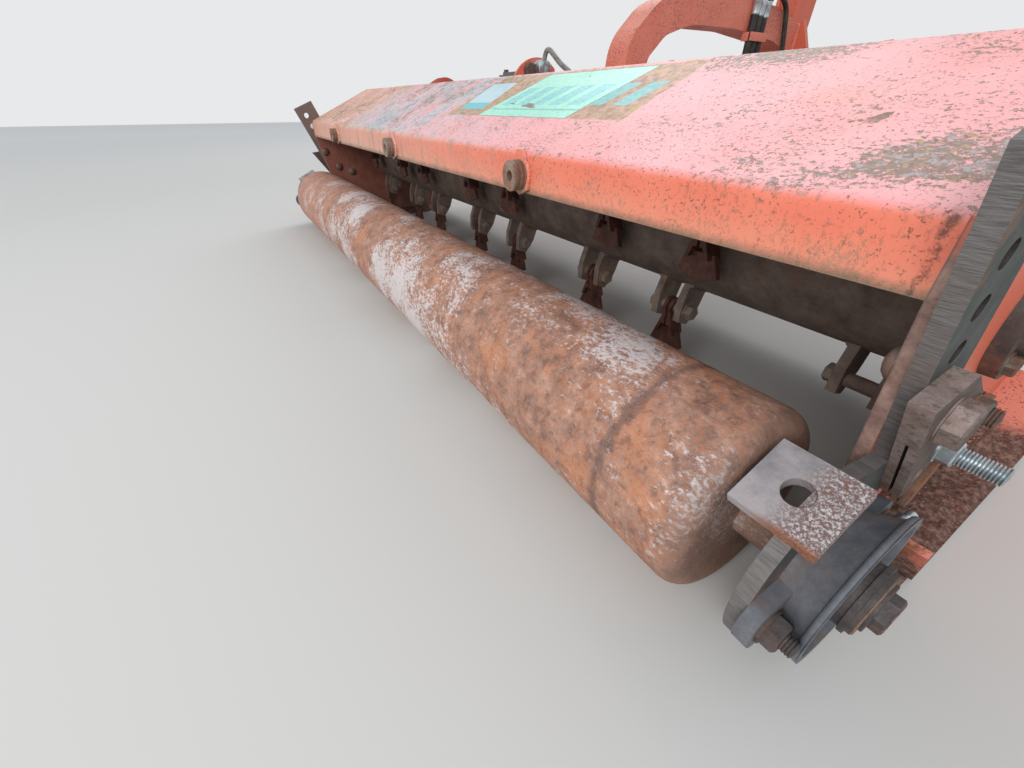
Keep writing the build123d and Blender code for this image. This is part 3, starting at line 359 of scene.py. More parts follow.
def run_tree(tree, mesh, values):
    """A mesh put through a geometry tree with named input values, as a plain mesh."""
    carrier = new_object("carrier", mesh)
    step = carrier.modifiers.new("tree", "NODES")
    step.node_group = tree
    for item in tree.interface.items_tree:
        if item.in_out == "INPUT" and item.name in values:
            step[item.identifier] = values[item.name]
    return as_mesh(carrier)


def weld(name, lines, body, finish, bead_size=0.004):
    """A piece of weld beads along polylines."""
    points = []
    edges = []
    for line in lines:
        edges += [(len(points) + k, len(points) + k + 1) for k in range(len(line) - 1)]
        points += line
    track = bpy.data.meshes.new(name)
    track.from_pydata(points, edges, [])
    grown = run_tree(bead_tree, track, {"Bead": bead_size, "Step": bead_size * 0.8, "Finish": finish})
    return place_piece(name, grown, body, finish, 1.2)


def loop_y(y, x0, x1, z0, z1):
    """A closed rectangle in a plane of constant Y."""
    return [(x0, y, z0), (x1, y, z0), (x1, y, z1), (x0, y, z1), (x0, y, z0)]


def loop_x(x, y0, y1, z0, z1):
    """A closed rectangle in a plane of constant X."""
    return [(x, y0, z0), (x, y1, z0), (x, y1, z1), (x, y0, z1), (x, y0, z0)]


def ring(x, y, z, radius, steps=36):
    """Points round a circle about a place, in a plane of constant Y."""
    turns = [math.radians(360 * k / steps) for k in range(steps + 1)]
    return [(x + radius * math.cos(turn), y, z + radius * math.sin(turn)) for turn in turns]


beam_low, beam_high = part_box("headstock")
rail_low, rail_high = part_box("rail_plates")
link_low, link_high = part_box("link_plates")
mast_low, mast_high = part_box("mast")
RAIL_PLATE = 0.014
LINK_PLATE = 0.016
MAST_PLATE = 0.012
frame_welds = []
for x in (rail_low.x, rail_low.x + RAIL_PLATE, rail_high.x - RAIL_PLATE,
          link_low.x, link_low.x + LINK_PLATE, link_high.x - LINK_PLATE, link_high.x):
    frame_welds.append(loop_x(x, beam_low.y, beam_high.y, beam_low.z, beam_high.z))
for x in (mast_low.x, mast_low.x + MAST_PLATE, mast_high.x - MAST_PLATE, mast_high.x):
    frame_welds.append([(x, beam_low.y, beam_high.z), (x, beam_high.y, beam_high.z)])
weld("frame_welds", frame_welds, "headstock", frame_orange)

# Lower link pins and their shoulders: turned bright steel pins pressed through the link plates,
# dulled by weather where the tractor's link balls have not kept them clean.
pit, pit_given, pit_result = new_group(
    "pitted_metal",
    [("Dark", "Color", srgb(120, 118, 116)), ("Light", "Color", srgb(176, 175, 172)),
     ("Rust", "Color", srgb(122, 80, 56)), ("Grain", "Float", 1.0), ("Rusting", "Float", 0.3),
     ("Smooth", "Float", 0.35), ("Dull", "Float", 0.85)],
    [("Color", "Color"), ("Roughness", "Float"), ("Height", "Float")])
here = local_place(pit)
here = read("ShaderNodeVectorMath", {0: here, "Scale": pit_given["Grain"]}, operation="SCALE")
tone = ramp(noise(here, 34.0, 6.0, 0.68), 0.36, 0.64)
metal = mix(tone, pit_given["Dark"], pit_given["Light"])
fine = noise(here, 210.0, 4.0, 0.7)
metal = mix(ramp(fine, 0.35, 0.65, 0.0, 0.35), metal, pit_given["Dark"])
eaten = madd(pit_given["Rusting"], 0.34, noise(here, 13.0, 9.0, 0.72))
eaten = ramp(eaten, 0.6, 0.72, 0.0, 0.8)
rust_fine = mix(ramp(noise(here, 90.0, 4.0), 0.35, 0.65), pit_given["Rust"], srgb(144, 104, 82))
roughness = ramp(madd(fine, 0.3, eaten), 0.1, 1.0, pit_given["Smooth"], pit_given["Dull"])
give(pit_result, mix(eaten, metal, rust_fine), roughness, madd(eaten, 0.35, fine))


def pitted(tree, dark, light, rust, smooth, rusting, grain):
    """The pitted metal group, placed in a material with its own tones and amounts."""
    values = {"Dark": dark, "Light": light, "Rust": rust, "Smooth": smooth, "Rusting": rusting,
              "Grain": grain}
    return add_node(tree, "ShaderNodeGroup", values, node_tree=pit).outputs


def bare_metal(name, dark, light, rust, metallic=0.4, smooth=0.45, rusting=0.3, grain=1.0,
               strength=0.35, depth=0.0008):
    """A bare steel finish: two tones of metal with pits and rust through it."""
    finish, tree = new_finish(name, metallic)
    wear = pitted(tree, dark, light, rust, smooth, rusting, grain)
    set_surface(tree, wear["Color"], wear["Roughness"], wear["Height"], strength, depth)
    return finish


bright_steel = bare_metal("bright_steel", srgb(142, 141, 139), srgb(186, 185, 182), srgb(128, 92, 68), 0.8,
                          0.28, 0.12)
finish_nodes(bright_steel, "lower_pins", "slide_rails", "input_shaft")


def add_turned(bm, profile, origin, axis, segments=32):
    """A profile of (along, radius) pairs turned about an axis; one clear of it at both ends closes."""
    start = Vector(origin)
    axis = Vector(axis).normalized()
    first = axis.orthogonal().normalized()
    second = axis.cross(first)
    rings = []
    for along, radius in profile:
        centre = start + axis * along
        if radius <= 1e-6:
            rings.append([bm.verts.new(centre)])
            continue
        turns = [2 * math.pi * k / segments for k in range(segments)]
        spokes = [first * math.cos(turn) + second * math.sin(turn) for turn in turns]
        rings.append([bm.verts.new(centre + spoke * radius) for spoke in spokes])
    pairs = list(zip(rings, rings[1:]))
    if profile[0][1] > 0 and profile[-1][1] > 0:
        pairs.append((rings[-1], rings[0]))
    for near, far in pairs:
        for k in range(segments):
            m = (k + 1) % segments
            if len(near) == 1 and len(far) == 1:
                continue
            if len(near) == 1:
                bm.faces.new((near[0], far[k], far[m]))
            elif len(far) == 1:
                bm.faces.new((near[k], far[0], near[m]))
            else:
                bm.faces.new((near[k], far[k], far[m], near[m]))


def add_prism(bm, outline, origin, across, up, thick, bevel=0.0):
    """A plate: an outline in the plane of two directions, thick to both sides, its edges eased."""
    origin, across, up = Vector(origin), Vector(across).normalized(), Vector(up).normalized()
    out = across.cross(up)
    layers = []
    for way in (-0.5, 0.5):
        layers.append([bm.verts.new(origin + across * a + up * b + out * thick * way) for a, b in outline])
    low, high = layers
    faces = [bm.faces.new(low[::-1]), bm.faces.new(high)]
    for k in range(len(outline)):
        m = (k + 1) % len(outline)
        faces.append(bm.faces.new((low[k], low[m], high[m], high[k])))
    if bevel:
        edges = list({edge for face in faces for edge in face.edges})
        bmesh.ops.bevel(bm, geom=edges, offset=bevel, segments=2, affect="EDGES", profile=0.6)


def own_mesh(name, bm):
    """A bmesh made into a mesh."""
    mesh = bpy.data.meshes.new(name)
    bm.to_mesh(mesh)
    bm.free()
    return mesh


def close_piece(name, bm, body, slot, finish, sharp=0.6):
    """Turn a bmesh into a placed piece with its faces outward."""
    bmesh.ops.remove_doubles(bm, verts=bm.verts, dist=1e-6)
    bmesh.ops.recalc_face_normals(bm, faces=bm.faces)
    return place_piece(name, own_mesh(name, bm), body, finish, sharp)


def middle(low, high):
    """The middle between two corners."""
    return [(a + b) / 2 for a, b in zip(low, high)]


pin_low, pin_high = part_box("lower_pins")
_, pin_y, pin_z = middle(pin_low, pin_high)
PIN_RADIUS = (pin_high.z - pin_low.z) / 2
SHOULDER = [(0, PIN_RADIUS), (0, 0.026), (0.004, 0.026), (0.006, 0.022), (0.006, PIN_RADIUS)]
shoulders = bmesh.new()
for x, way in ((link_high.x, 1), (link_low.x, -1)):
    add_turned(shoulders, SHOULDER, (x, pin_y, pin_z), (way, 0, 0))
close_piece("lower_pin_shoulders", shoulders, "headstock", "ground_steel", bright_steel)


# Bolts: hexagon heads on plain washers hold the bolted pieces, all the same kind of dark, dry
# steel bolt in two or three sizes, screwed home at any angle.
def hex_head(corner, height, washer, thickness, stub=0.0, stub_radius=0.0):
    """A hexagon head on its washer, with the end of a thread beyond it where there is one."""
    bm = bmesh.new()
    top = thickness + height
    base = ((0, 0, 0), (0, 0, 1))
    add_turned(bm,
               [(0, 0), (0, washer), (thickness * 0.8, washer), (thickness, washer * 0.96), (thickness, 0)],
               *base, 20)
    add_turned(bm,
               [(thickness, 0), (thickness, corner), (thickness + height * 0.86, corner),
                (top, corner * 0.88), (top, 0)], *base, 6)
    if stub:
        pitch = 0.0022
        rise = thickness + height * 0.5
        profile = [(rise, 0)]
        while rise < top + stub - 0.001:
            profile += [(rise, stub_radius * 0.88), (rise + pitch / 2, stub_radius)]
            rise += pitch
        add_turned(bm, profile + [(rise, stub_radius * 0.82), (rise + 0.001, 0)], *base, 18)
    bmesh.ops.recalc_face_normals(bm, faces=bm.faces)
    return own_mesh("hex_head", bm)


spread_tree, spread_given, spread_result = new_group(
    "set_on_points",
    [("Geometry", "Geometry"), ("Piece", "Object"), ("Size", "Float"), ("Finish", "Material")],
    [("Geometry", "Geometry")], "GeometryNodeTree")
outward, turn = [
    add_node(spread_tree, "GeometryNodeInputNamedAttribute", {"Name": name}, data_type=kind).outputs[0]
    for name, kind in (("outward", "FLOAT_VECTOR"), ("turn", "FLOAT"))]
upright = read("FunctionNodeAlignRotationToVector", {"Vector": outward}, axis="Z")
spun = read("FunctionNodeAxisAngleToRotation", {"Axis": (0, 0, 1), "Angle": turn})
set_turn = read("FunctionNodeRotateRotation", {"Rotation": upright, "Rotate By": spun},
                rotation_space="LOCAL")
source = read("GeometryNodeObjectInfo", {"Object": spread_given["Piece"]}, "Geometry")
copies = read("GeometryNodeInstanceOnPoints", {"Points": spread_given["Geometry"], "Instance": source,
                                               "Rotation": set_turn, "Scale": spread_given["Size"]})
end_tree(copies, spread_given, spread_result)
chance = random.Random(41)


def set_out(name, source_mesh, places, body, slot, finish, size=1.0, sharp=0.6):
    """Copies of one small part on points, each facing outward along its own direction."""
    points = bpy.data.meshes.new(name)
    points.from_pydata([spot for spot, way in places], [], [])
    points.attributes.new("outward", "FLOAT_VECTOR", "POINT")
    points.attributes.new("turn", "FLOAT", "POINT")
    points.attributes["outward"].data.foreach_set("vector", [part for spot, way in places for part in way])
    points.attributes["turn"].data.foreach_set("value", [chance.uniform(0, math.pi / 3) for spot in places])
    pattern = new_object("pattern", source_mesh)
    grown = run_tree(spread_tree, points, {"Piece": pattern, "Size": size, "Finish": finish})
    bpy.data.objects.remove(pattern)
    return place_piece(name, grown, body, finish, sharp)


bolt_steel = bare_metal("bolt_steel", srgb(78, 76, 74), srgb(118, 114, 110), srgb(104, 74, 56), 0.5, 0.5,
                        0.45, 2.0)
BIG_BOLT = hex_head(0.0165, 0.0125, 0.0175, 0.003)
MID_BOLT = hex_head(0.0105, 0.008, 0.012, 0.002)
SMALL_BOLT = hex_head(0.0075, 0.0055, 0.009, 0.0015)

# Slide rails: two ground bars, drilled and tapped in their ends and pulled up to the rail plates
# by a bolt at each end. The shift cylinder is screwed into the far plate by its gland.
def band(inner, outer, wide, flare=0.0):
    """The profile of a plain ring, with its far side leaning by a flare."""
    return [(0, inner), (0, outer), (wide, outer), (wide + flare, inner)]


def stepped(*steps):
    """The profile of a solid body turned in steps, each up to a reach at a radius."""
    line, last = [(0, 0)], 0
    for reach, radius in steps:
        line += [(last, radius), (reach, radius)]
        last = reach
    return line + [(last, 0)]


slide_low, slide_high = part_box("slide_rails")
rail_y = middle(slide_low, slide_high)[1]
RAIL_RADIUS = (slide_high.y - slide_low.y) / 2
rail_heights = (slide_low.z + RAIL_RADIUS, slide_high.z - RAIL_RADIUS)
rail_ends = []
for z in rail_heights:
    rail_ends += [((rail_high.x, rail_y, z), (1, 0, 0)), ((rail_low.x, rail_y, z), (-1, 0, 0))]
set_out("rail_bolts", BIG_BOLT, rail_ends, "headstock", "dark_steel", bolt_steel)

black_enamel = painted("black_enamel", srgb(34, 34, 35), srgb(62, 61, 60), 0.5, 0.35, 0.1, 0.22)
finish_nodes(black_enamel, "shift_barrel", "tilt_barrel")
barrel_low, barrel_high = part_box("shift_barrel")
_, barrel_y, barrel_z = middle(barrel_low, barrel_high)
BARREL_RADIUS = (barrel_high.z - barrel_low.z) / 2
GLAND, END_CAP = (0.012, 0.006), (0.442, 0.004)
fittings = bmesh.new()
for back, tall in (GLAND, END_CAP):
    add_turned(fittings, band(BARREL_RADIUS - 0.001, BARREL_RADIUS + tall, 0.030, 0.003),
               (barrel_high.x - back, barrel_y, barrel_z), (-1, 0, 0), 40)
for x in (barrel_high.x - 0.06, barrel_low.x + 0.05):
    add_turned(fittings, stepped((0.012, 0.013), (0.03, 0.010)),
               (x, barrel_y, barrel_z + BARREL_RADIUS - 0.002), (0, 0, 1), 20)
close_piece("shift_barrel_fittings", fittings, "headstock", "black_paint", black_enamel)

chrome = bare_metal("rod_chrome", srgb(168, 168, 170), srgb(205, 205, 208), srgb(120, 100, 84), 0.95, 0.14,
                    0.0, 1.0, 0.06)
finish_nodes(chrome, "shift_rod", "tilt_rod")

# Parking stand: a square leg in a welded socket, held by a bent pin through both, with a
# pressed foot under it. All of it but the pin is painted with the frame; the pin is bright steel.
finish_nodes(frame_orange, "stand_socket", "stand_leg")
socket_low, socket_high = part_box("stand_socket")
socket_x, socket_y, _ = middle(socket_low, socket_high)
stand_welds = [[(x, socket_high.y, z) for z in (beam_low.z, beam_high.z)] for x in (socket_low.x,
                                                                                    socket_high.x)]
weld("stand_welds", stand_welds, "headstock", frame_orange)
LEG_HALF, FOOT_TOP = 0.025, 0.0085
foot_ring = [(socket_x + a * LEG_HALF, socket_y + b * LEG_HALF, FOOT_TOP)
             for a, b in ((-1, -1), (1, -1), (1, 1), (-1, 1), (-1, -1))]
weld("foot_welds", [foot_ring], "stand", frame_orange)


def bent_bar(name, points, radius, body, finish, bevel=12):
    """A round bar or pipe bent smoothly along points."""
    line = bpy.data.curves.new(name, "CURVE")
    line.dimensions = "3D"
    line.bevel_depth = radius
    line.bevel_resolution = bevel // 4
    line.use_fill_caps = True
    line.resolution_u = 6
    run = line.splines.new("NURBS")
    run.points.add(len(points) - 1)
    for knot, spot in zip(run.points, points):
        knot.co = (*spot, 1.0)
    run.order_u = 3
    run.use_endpoint_u = True
    return place_piece(name, as_mesh(new_object(name, line)), body, finish, 0.9)


PEG_Z = socket_low.z + 0.03
peg = [(socket_low.x - 0.02, socket_y, PEG_Z), (socket_low.x - 0.012, socket_y, PEG_Z)]
for out, back, rise in (
        (0.022, 0, 0), (0.034, 0, 0), (0.036, 0.002, 0.012), (0.036, 0.02, 0.05), (0.03, 0.03, 0.06)):
    peg.append((socket_high.x + out, socket_y - back, PEG_Z + rise))
bent_bar("stand_peg", peg, 0.006, "headstock", bright_steel)

# Carriage: a back plate with two sleeves that slide on the rails, each with a grease nipple,
# and a lug that the shift rod is screwed into.
finish_nodes(frame_orange, "carriage")
sled_low, sled_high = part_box("carriage")
PLATE_FRONT = sled_low.y
SLEEVE_RADIUS = sled_high.y - rail_y


def turned_mesh(name, profile, segments):
    """A small turned part by itself, to be set out on points."""
    bm = bmesh.new()
    add_turned(bm, profile, (0, 0, 0), (0, 0, 1), segments)
    return own_mesh(name, bm)


NIPPLE = turned_mesh("nipple", [(0, 0), (0, 0.0045), (0.004, 0.0045), (0.004, 0.003), (0.008, 0.0034),
                                (0.010, 0.0026), (0.0112, 0)], 12)
zinc = bare_metal("zinc_plate", srgb(150, 160, 164), srgb(206, 214, 218), srgb(150, 140, 120), 0.85, 0.26,
                  0.0, 1.6, 0.15)
sleeve_tops = [((x, rail_y, z + SLEEVE_RADIUS - 0.0005), (0, 0, 1))
               for z in rail_heights for x in (sled_low.x + 0.045, sled_high.x - 0.045)]
set_out("sleeve_nipples", NIPPLE, sleeve_tops, "carriage", "ground_steel", zinc)
rims = bmesh.new()
WIPER = [(-0.0005, RAIL_RADIUS + 0.001), (-0.0005, RAIL_RADIUS + 0.006), (0.004, RAIL_RADIUS + 0.006),
         (0.004, RAIL_RADIUS + 0.001)]
for z in rail_heights:
    for x, way in ((sled_low.x, 1), (sled_high.x, -1)):
        add_turned(rims, WIPER, (x, rail_y, z), (way, 0, 0), 36)
close_piece("sleeve_wipers", rims, "carriage", "black_paint", black_enamel)

# Swan neck: a thick-walled square tube bent over the front of the head, welded to the carriage
# and to the pivot's bush. Its paint is darker, with dirt specks, a little rust and dry lichen.
neck_orange = painted("neck_orange", srgb(218, 124, 102), srgb(228, 150, 132), 0.7, 1.3, 0.75, 0.06)
finish_nodes(neck_orange, "swan_neck")
neck_low, neck_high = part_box("swan_neck")
neck_x = middle(neck_low, neck_high)[0]
NECK_SEAT = (0.516, 0.584)
BUSH_TOP, BUSH_BACK, BUSH_FRONT = 0.466, -0.160, -0.096
bush_ring = [(x, y, BUSH_TOP) for x, y in (
    (neck_low.x, BUSH_BACK), (neck_high.x, BUSH_BACK), (neck_high.x, BUSH_FRONT), (neck_low.x, BUSH_FRONT),
    (neck_low.x, BUSH_BACK))]
weld("neck_welds", [loop_y(PLATE_FRONT, neck_low.x, neck_high.x, *NECK_SEAT), bush_ring],
     "carriage", neck_orange)

# Hose block: a brown cast valve body on the neck, with a plated elbow and crimped hose ends
# screwed into it, from which the hoses run down the side of the neck to the carriage.
valve_brown = painted("valve_brown", srgb(86, 56, 44), srgb(112, 84, 70), 0.5, 0.8, 0.3, 0.4)
finish_nodes(valve_brown, "hose_block")
hose_black, tree = new_finish("hose_rubber", 0.0, 0.35)
here = local_place(tree)
dust = ramp(noise(here, 24.0, 6.0, 0.7), 0.42, 0.72)
weave = add_node(tree, "ShaderNodeTexWave", {"Vector": here, "Scale": 260.0, "Distortion": 1.5},
                 bands_direction="DIAGONAL").outputs["Fac"]
colour = mix(dust, srgb(30, 29, 28), srgb(88, 80, 72))
set_surface(tree, colour, ramp(dust, 0.0, 1.0, 0.5, 0.9), weave, 0.2, 0.0006)
finish_nodes(hose_black, "hoses")
block_low, block_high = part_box("hose_block")
hose_low, hose_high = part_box("hoses")
hose_x, block_y = middle(hose_low, hose_high)[0], middle(block_low, block_high)[1]
ferrules = bmesh.new()
FERRULE = [(0, 0.0082), (0, 0.011), (0.008, 0.011), (0.010, 0.0098), (0.030, 0.0098), (0.032, 0.0082)]
for shift, drop in ((-0.0225, 0.0), (-0.0015, 0.002), (0.0195, 0.004)):
    add_turned(ferrules, FERRULE, (hose_x, block_y + shift, block_low.z + 0.004 - drop), (0, 0, -1), 18)
THICK_HOSE, THIN_HOSE = 0.0082, 0.0062
for z, radius in ((0.403, THICK_HOSE), (0.424, THICK_HOSE), (0.445, THICK_HOSE), (0.476, THIN_HOSE)):
    crimp = [(0, radius), (0, radius + 0.0036), (0.010, radius + 0.0036), (0.012, radius + 0.002),
             (0.034, radius + 0.002), (0.036, radius)]
    add_turned(ferrules, crimp, (hose_x, PLATE_FRONT - 0.0002, z), (0, -1, 0), 18)
close_piece("hose_ferrules", ferrules, "carriage", "ground_steel", zinc)
elbow_z = block_high.z - 0.014
elbow = [(block_high.x + out, block_y + across, elbow_z - drop) for out, across, drop in (
    (-0.002, 0.006, 0), (0.010, 0.006, 0), (0.022, 0.008, 0), (0.024, 0.020, 0.002), (0.024, 0.036, 0.006))]
bent_bar("block_elbow", elbow, 0.0085, "carriage", zinc)
elbow_nuts = [((block_high.x, block_y + 0.006, elbow_z), (1, 0, 0))]
for across, drop in ((-0.016, 0.0045), (0.012, 0.0072)):
    elbow_nuts.append(((block_high.x - 0.028, block_y + across, block_high.z - drop), (0, 0.094, 0.996)))
set_out("block_unions", MID_BOLT, elbow_nuts, "carriage", "ground_steel", zinc)


def oblong(left, right, half):
    """A rectangle's corners, for a plate."""
    return [(left, -half), (right, -half), (right, half), (left, half)]


clips = bmesh.new()
CLIP_Z, CLIP_HALF = 0.545, 0.009
add_prism(clips, oblong(-0.034, 0.034, CLIP_HALF), (hose_x + 0.0095, block_y, CLIP_Z), (0, 1, 0), (0, 0, 1),
          0.003, 0.0008)
for shift in (-0.0345, 0.0345):
    add_prism(clips, oblong(-0.012, 0.006, CLIP_HALF), (hose_x - 0.0015, block_y + shift, CLIP_Z),
              (1, 0, 0), (0, 0, 1), 0.003, 0.0008)
close_piece("hose_clip", clips, "carriage", "orange_paint", neck_orange)

# Pivot pin and crank: the head turns on one long pin keyed in the neck. The tilt cylinder hangs
# on the crank at the pin's front end. Greased steel, brown with old grease and dust.
greasy_steel = bare_metal("greasy_steel", srgb(74, 66, 60), srgb(108, 98, 90), srgb(90, 64, 50), 0.4, 0.5,
                          0.4)
finish_nodes(greasy_steel, "tilt_pin")
crank_low, crank_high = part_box("tilt_pin")
crank_z = crank_low.z + 0.030
NIPPLE_SEAT = (neck_x, -0.128, crank_high.z - 0.032 - 0.0298)
set_out("pivot_nipple", NIPPLE, [(NIPPLE_SEAT, (0, 0, -1))], "carriage", "ground_steel", zinc)
collars = bmesh.new()
for y in (crank_high.y - 0.001, -0.072):
    add_turned(collars, band(0.0128, 0.018, 0.004, 0.0005), (neck_x, y, crank_z), (0, -1, 0), 24)
close_piece("crank_collars", collars, "carriage", "dark_steel", bolt_steel)

# Hood: one folded sheet. Its paint is bleached to pink on the slope, still orange at the bends,
# crusted with lichen over the far half and by the near end, and keeps half of an old sticker.
hood_low, hood_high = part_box("hood")
LIP_FOOT_Z, SLOPE_FOOT_Z = 0.302, 0.350
SLOPE_RUN, SLOPE_RISE = 0.216, 0.098
SLOPE = math.hypot(SLOPE_RUN, SLOPE_RISE)


def along(place, way):
    """How far a place lies along a direction."""
    return read("ShaderNodeVectorMath", {0: place, 1: way}, "Value", operation="DOT_PRODUCT")


hood_finish, tree = new_finish("hood_orange", 0.0, 0.4)
here = local_place(tree)
axes = split(here)
along_x = axes["X"]
facing_z = split(normal_in(tree))["Z"]
hood_up = ramp(facing_z, 0.2, 0.8)
up_slope = along(here, (0, SLOPE_RUN / SLOPE, SLOPE_RISE / SLOPE))
foot_along = (LIP_Y * SLOPE_RUN + SLOPE_FOOT_Z * SLOPE_RISE) / SLOPE
up_slope = minus(up_slope, foot_along)


def panel(x, s, x0, x1, s0, s1, lean=0.0, soft=0.0015):
    """A mask that is one inside a leaning rectangle of the sheet."""
    x = madd(minus(s, s0), -lean, x)
    inside = times(ramp(x, x0, x0 + soft), ramp(x, x1, x1 - soft))
    return times(inside, times(ramp(s, s0, s0 + soft), ramp(s, s1, s1 - soft)))


torn = madd(noise(here, 60.0, 5.0, 0.7), 0.012, -0.006)
torn_x = plus(along_x, torn)
torn_s = plus(up_slope, torn)
far_share = ramp(plus(along_x, times(torn, 14.0)), 0.42, 0.02)
near_patch = panel(along_x, up_slope, 0.815, 0.935, 0.004, 0.098, 0.35, 0.03)
ridge_patch = panel(along_x, up_slope, 0.56, 0.76, 0.188, 0.262, 0.1, 0.03)
lichen_amount = maths("MAXIMUM", times(far_share, 1.25),
                      maths("MAXIMUM", times(near_patch, 0.6), times(ridge_patch, 0.9)))
lichen_amount = maths("MAXIMUM", lichen_amount, 0.42)
wear = weathered(tree, srgb(240, 134, 108), srgb(250, 187, 190), 1.0, 0.6, lichen_amount, -0.4)
colour = wear["Color"]
# the far half: lichen streaks down the slope, blue-grey by the sticker and peach at the far end
down_slope = stretched(here, (1.0, 0.24, 0.24))
streaks = noise(down_slope, 62.0, 7.0, 0.72)
wide_streaks = noise(down_slope, 19.0, 4.0, 0.6)
far_slope = times(far_share, hood_up)
far_end = ramp(madd(wide_streaks, 0.35, along_x), -0.16, -0.34)
far_tone = mix(far_end, srgb(202, 210, 216), srgb(232, 190, 162))
far_cover = ramp(madd(wide_streaks, 0.5, streaks), 0.66, 0.8)
colour = coat(colour, far_tone, times(far_cover, far_slope), 0.85)
tan_cover = times(times(ramp(wide_streaks, 0.5, 0.6), far_end), far_slope)
colour = coat(colour, srgb(206, 158, 124), tan_cover, 0.6)
flecks = noise(stretched(here, (1.0, 0.5, 0.5)), 170.0, 4.0, 0.75)
fleck_line = madd(streaks, 0.5, flecks)
far_flecks = times(far_slope, ramp(fleck_line, 0.82, 0.88))
fleck_tone = mix(far_end, srgb(104, 106, 106), srgb(136, 124, 104))
colour = coat(colour, fleck_tone, far_flecks, 0.8)
# crusts of small lichen in loose patches, thick by the near end and under the ridge
grains = noise(stretched(here, (0.8, 1.0, 1.0)), 215.0, 4.0, 0.78)
loose = noise(here, 13.0, 5.0, 0.65)
grain_line = madd(loose, 0.62, grains)
grain_line = madd(near_patch, 0.205, grain_line)
grain_line = madd(ridge_patch, 0.15, grain_line)
grain_cover = times(ramp(grain_line, 0.905, 0.945), hood_up)
grain_kind = noise(here, 150.0, 3.0, 0.6)
grain_tone = mix(ramp(grain_kind, 0.53, 0.59), srgb(124, 118, 100), srgb(164, 168, 166))
grain_tone = mix(ramp(grain_kind, 0.42, 0.38), grain_tone, srgb(172, 152, 96))
grain_rims = ramp(noise(here, 310.0, 2.0, 0.7), 0.5, 0.58, 0.0, 0.55)
grain_tone = mix(grain_rims, grain_tone, srgb(92, 88, 76))
colour = coat(colour, grain_tone, grain_cover, 0.85)
# small grey-brown flecks over the whole slope
dots = noise(here, 150.0, 2.5, 0.6)
dot_crowd = ramp(noise(here, 11.0, 3.0), 0.4, 0.62, 0.0, 0.055)
dot_mask = ramp(plus(dots, dot_crowd), 0.68, 0.705)
colour = coat(colour, srgb(150, 128, 116), dot_mask, times(hood_up, 0.8))
orange_spot = panel(torn_x, torn_s, 0.73, 0.81, 0.11, 0.16, 0.1, 0.03)
colour = coat(colour, srgb(238, 160, 134), orange_spot, 0.5)
# the sticker: brown glue where it has gone, mint film where it holds, with plain teal bars
glue = panel(torn_x, torn_s, 0.088, 0.572, 0.08, 0.232, 0.03, 0.004)
glue_grain = ramp(noise(here, 95.0, 5.0, 0.7), 0.36, 0.62)
glue_tone = mix(glue_grain, srgb(150, 124, 98), srgb(214, 176, 144))
glue_gold = ramp(noise(here, 40.0, 3.0), 0.6, 0.68)
glue_tone = mix(glue_gold, glue_tone, srgb(196, 172, 84))
colour = coat(colour, glue_tone, glue, 0.9)
film_x = madd(torn, 0.35, along_x)
film_s = madd(torn, 0.25, up_slope)
STICKER_LEAN, BARS_A_METRE = 0.24, 22.0
film = panel(film_x, film_s, 0.218, 0.463, 0.083, 0.226, STICKER_LEAN, 0.001)
tears = ramp(noise(stretched(here, (0.4, 1.5, 1.5)), 34.0, 4.0, 0.6), 0.665, 0.675)
film = times(film, minus(1.0, tears))
film_grain = ramp(noise(here, 180.0, 4.0), 0.3, 0.7)
film_tone = mix(film_grain, srgb(150, 224, 200), srgb(190, 248, 228))
lean_x = madd(minus(up_slope, 0.115), -STICKER_LEAN, along_x)
stripe = maths("FRACT", times(lean_x, BARS_A_METRE))
stripe = times(ramp(stripe, 0.3, 0.33), ramp(stripe, 0.96, 0.93))
bars = times(panel(film_x, film_s, 0.238, 0.545, 0.118, 0.178, STICKER_LEAN, 0.001), stripe)
underline = panel(film_x, film_s, 0.232, 0.47, 0.103, 0.108, STICKER_LEAN, 0.0006)
bar_tone = mix(film_grain, srgb(116, 196, 200), srgb(150, 222, 222))
colour = mix(film, colour, film_tone)
colour = coat(colour, bar_tone, bars, 0.85)
colour = coat(colour, srgb(104, 168, 170), underline, 0.6)
label = panel(film_x, film_s, 0.108, 0.198, 0.104, 0.203, -0.22, 0.001)
label_tone = mix(ramp(film_s, 0.127, 0.129), srgb(120, 202, 208), srgb(196, 222, 230))
colour = mix(label, colour, label_tone)
film_edge = minus(panel(film_x, film_s, 0.2168, 0.4642, 0.0818, 0.2272, STICKER_LEAN, 0.0008), film)
colour = coat(colour, srgb(84, 96, 88), maths("MAXIMUM", film_edge, 0.0), 0.55)
# the lip: soft grey-brown crumbs, a band of dust and a dark line of dirt along its bottom edge,
# and a smudged seam down the near end
lip_face = ramp(axes["Y"], hood_low.y + 0.012, hood_low.y + 0.004)
lip_down = ramp(axes["Z"], SLOPE_FOOT_Z - 0.004, LIP_FOOT_Z)
lip_crumbs = noise(stretched(here, (1.0, 1.0, 0.7)), 250.0, 4.0, 0.78)
lip_crumbs = madd(lip_down, 0.05, lip_crumbs)
lip_crumbs = madd(noise(here, 15.0, 4.0), 0.45, lip_crumbs)
lip_specks = times(lip_face, ramp(lip_crumbs, 0.8, 0.9))
colour = coat(colour, srgb(142, 122, 100), lip_specks, 0.6)
lip_dust = madd(noise(here, 30.0, 5.0, 0.7), 0.9, lip_down)
lip_dust = times(lip_face, ramp(lip_dust, 0.7, 1.6, 0.0, 0.5))
colour = mix(lip_dust, colour, srgb(226, 172, 142))
far_lip = times(ramp(along_x, 0.45, -0.25), times(lip_face, 0.62))
colour = mix(far_lip, colour, srgb(226, 186, 166))
column = noise(stretched(here, (1.0, 1.0, 0.25)), 36.0, 5.0, 0.7)
column = times(times(lip_face, ramp(column, 0.52, 0.6)), ramp(along_x, 0.5, 0.2))
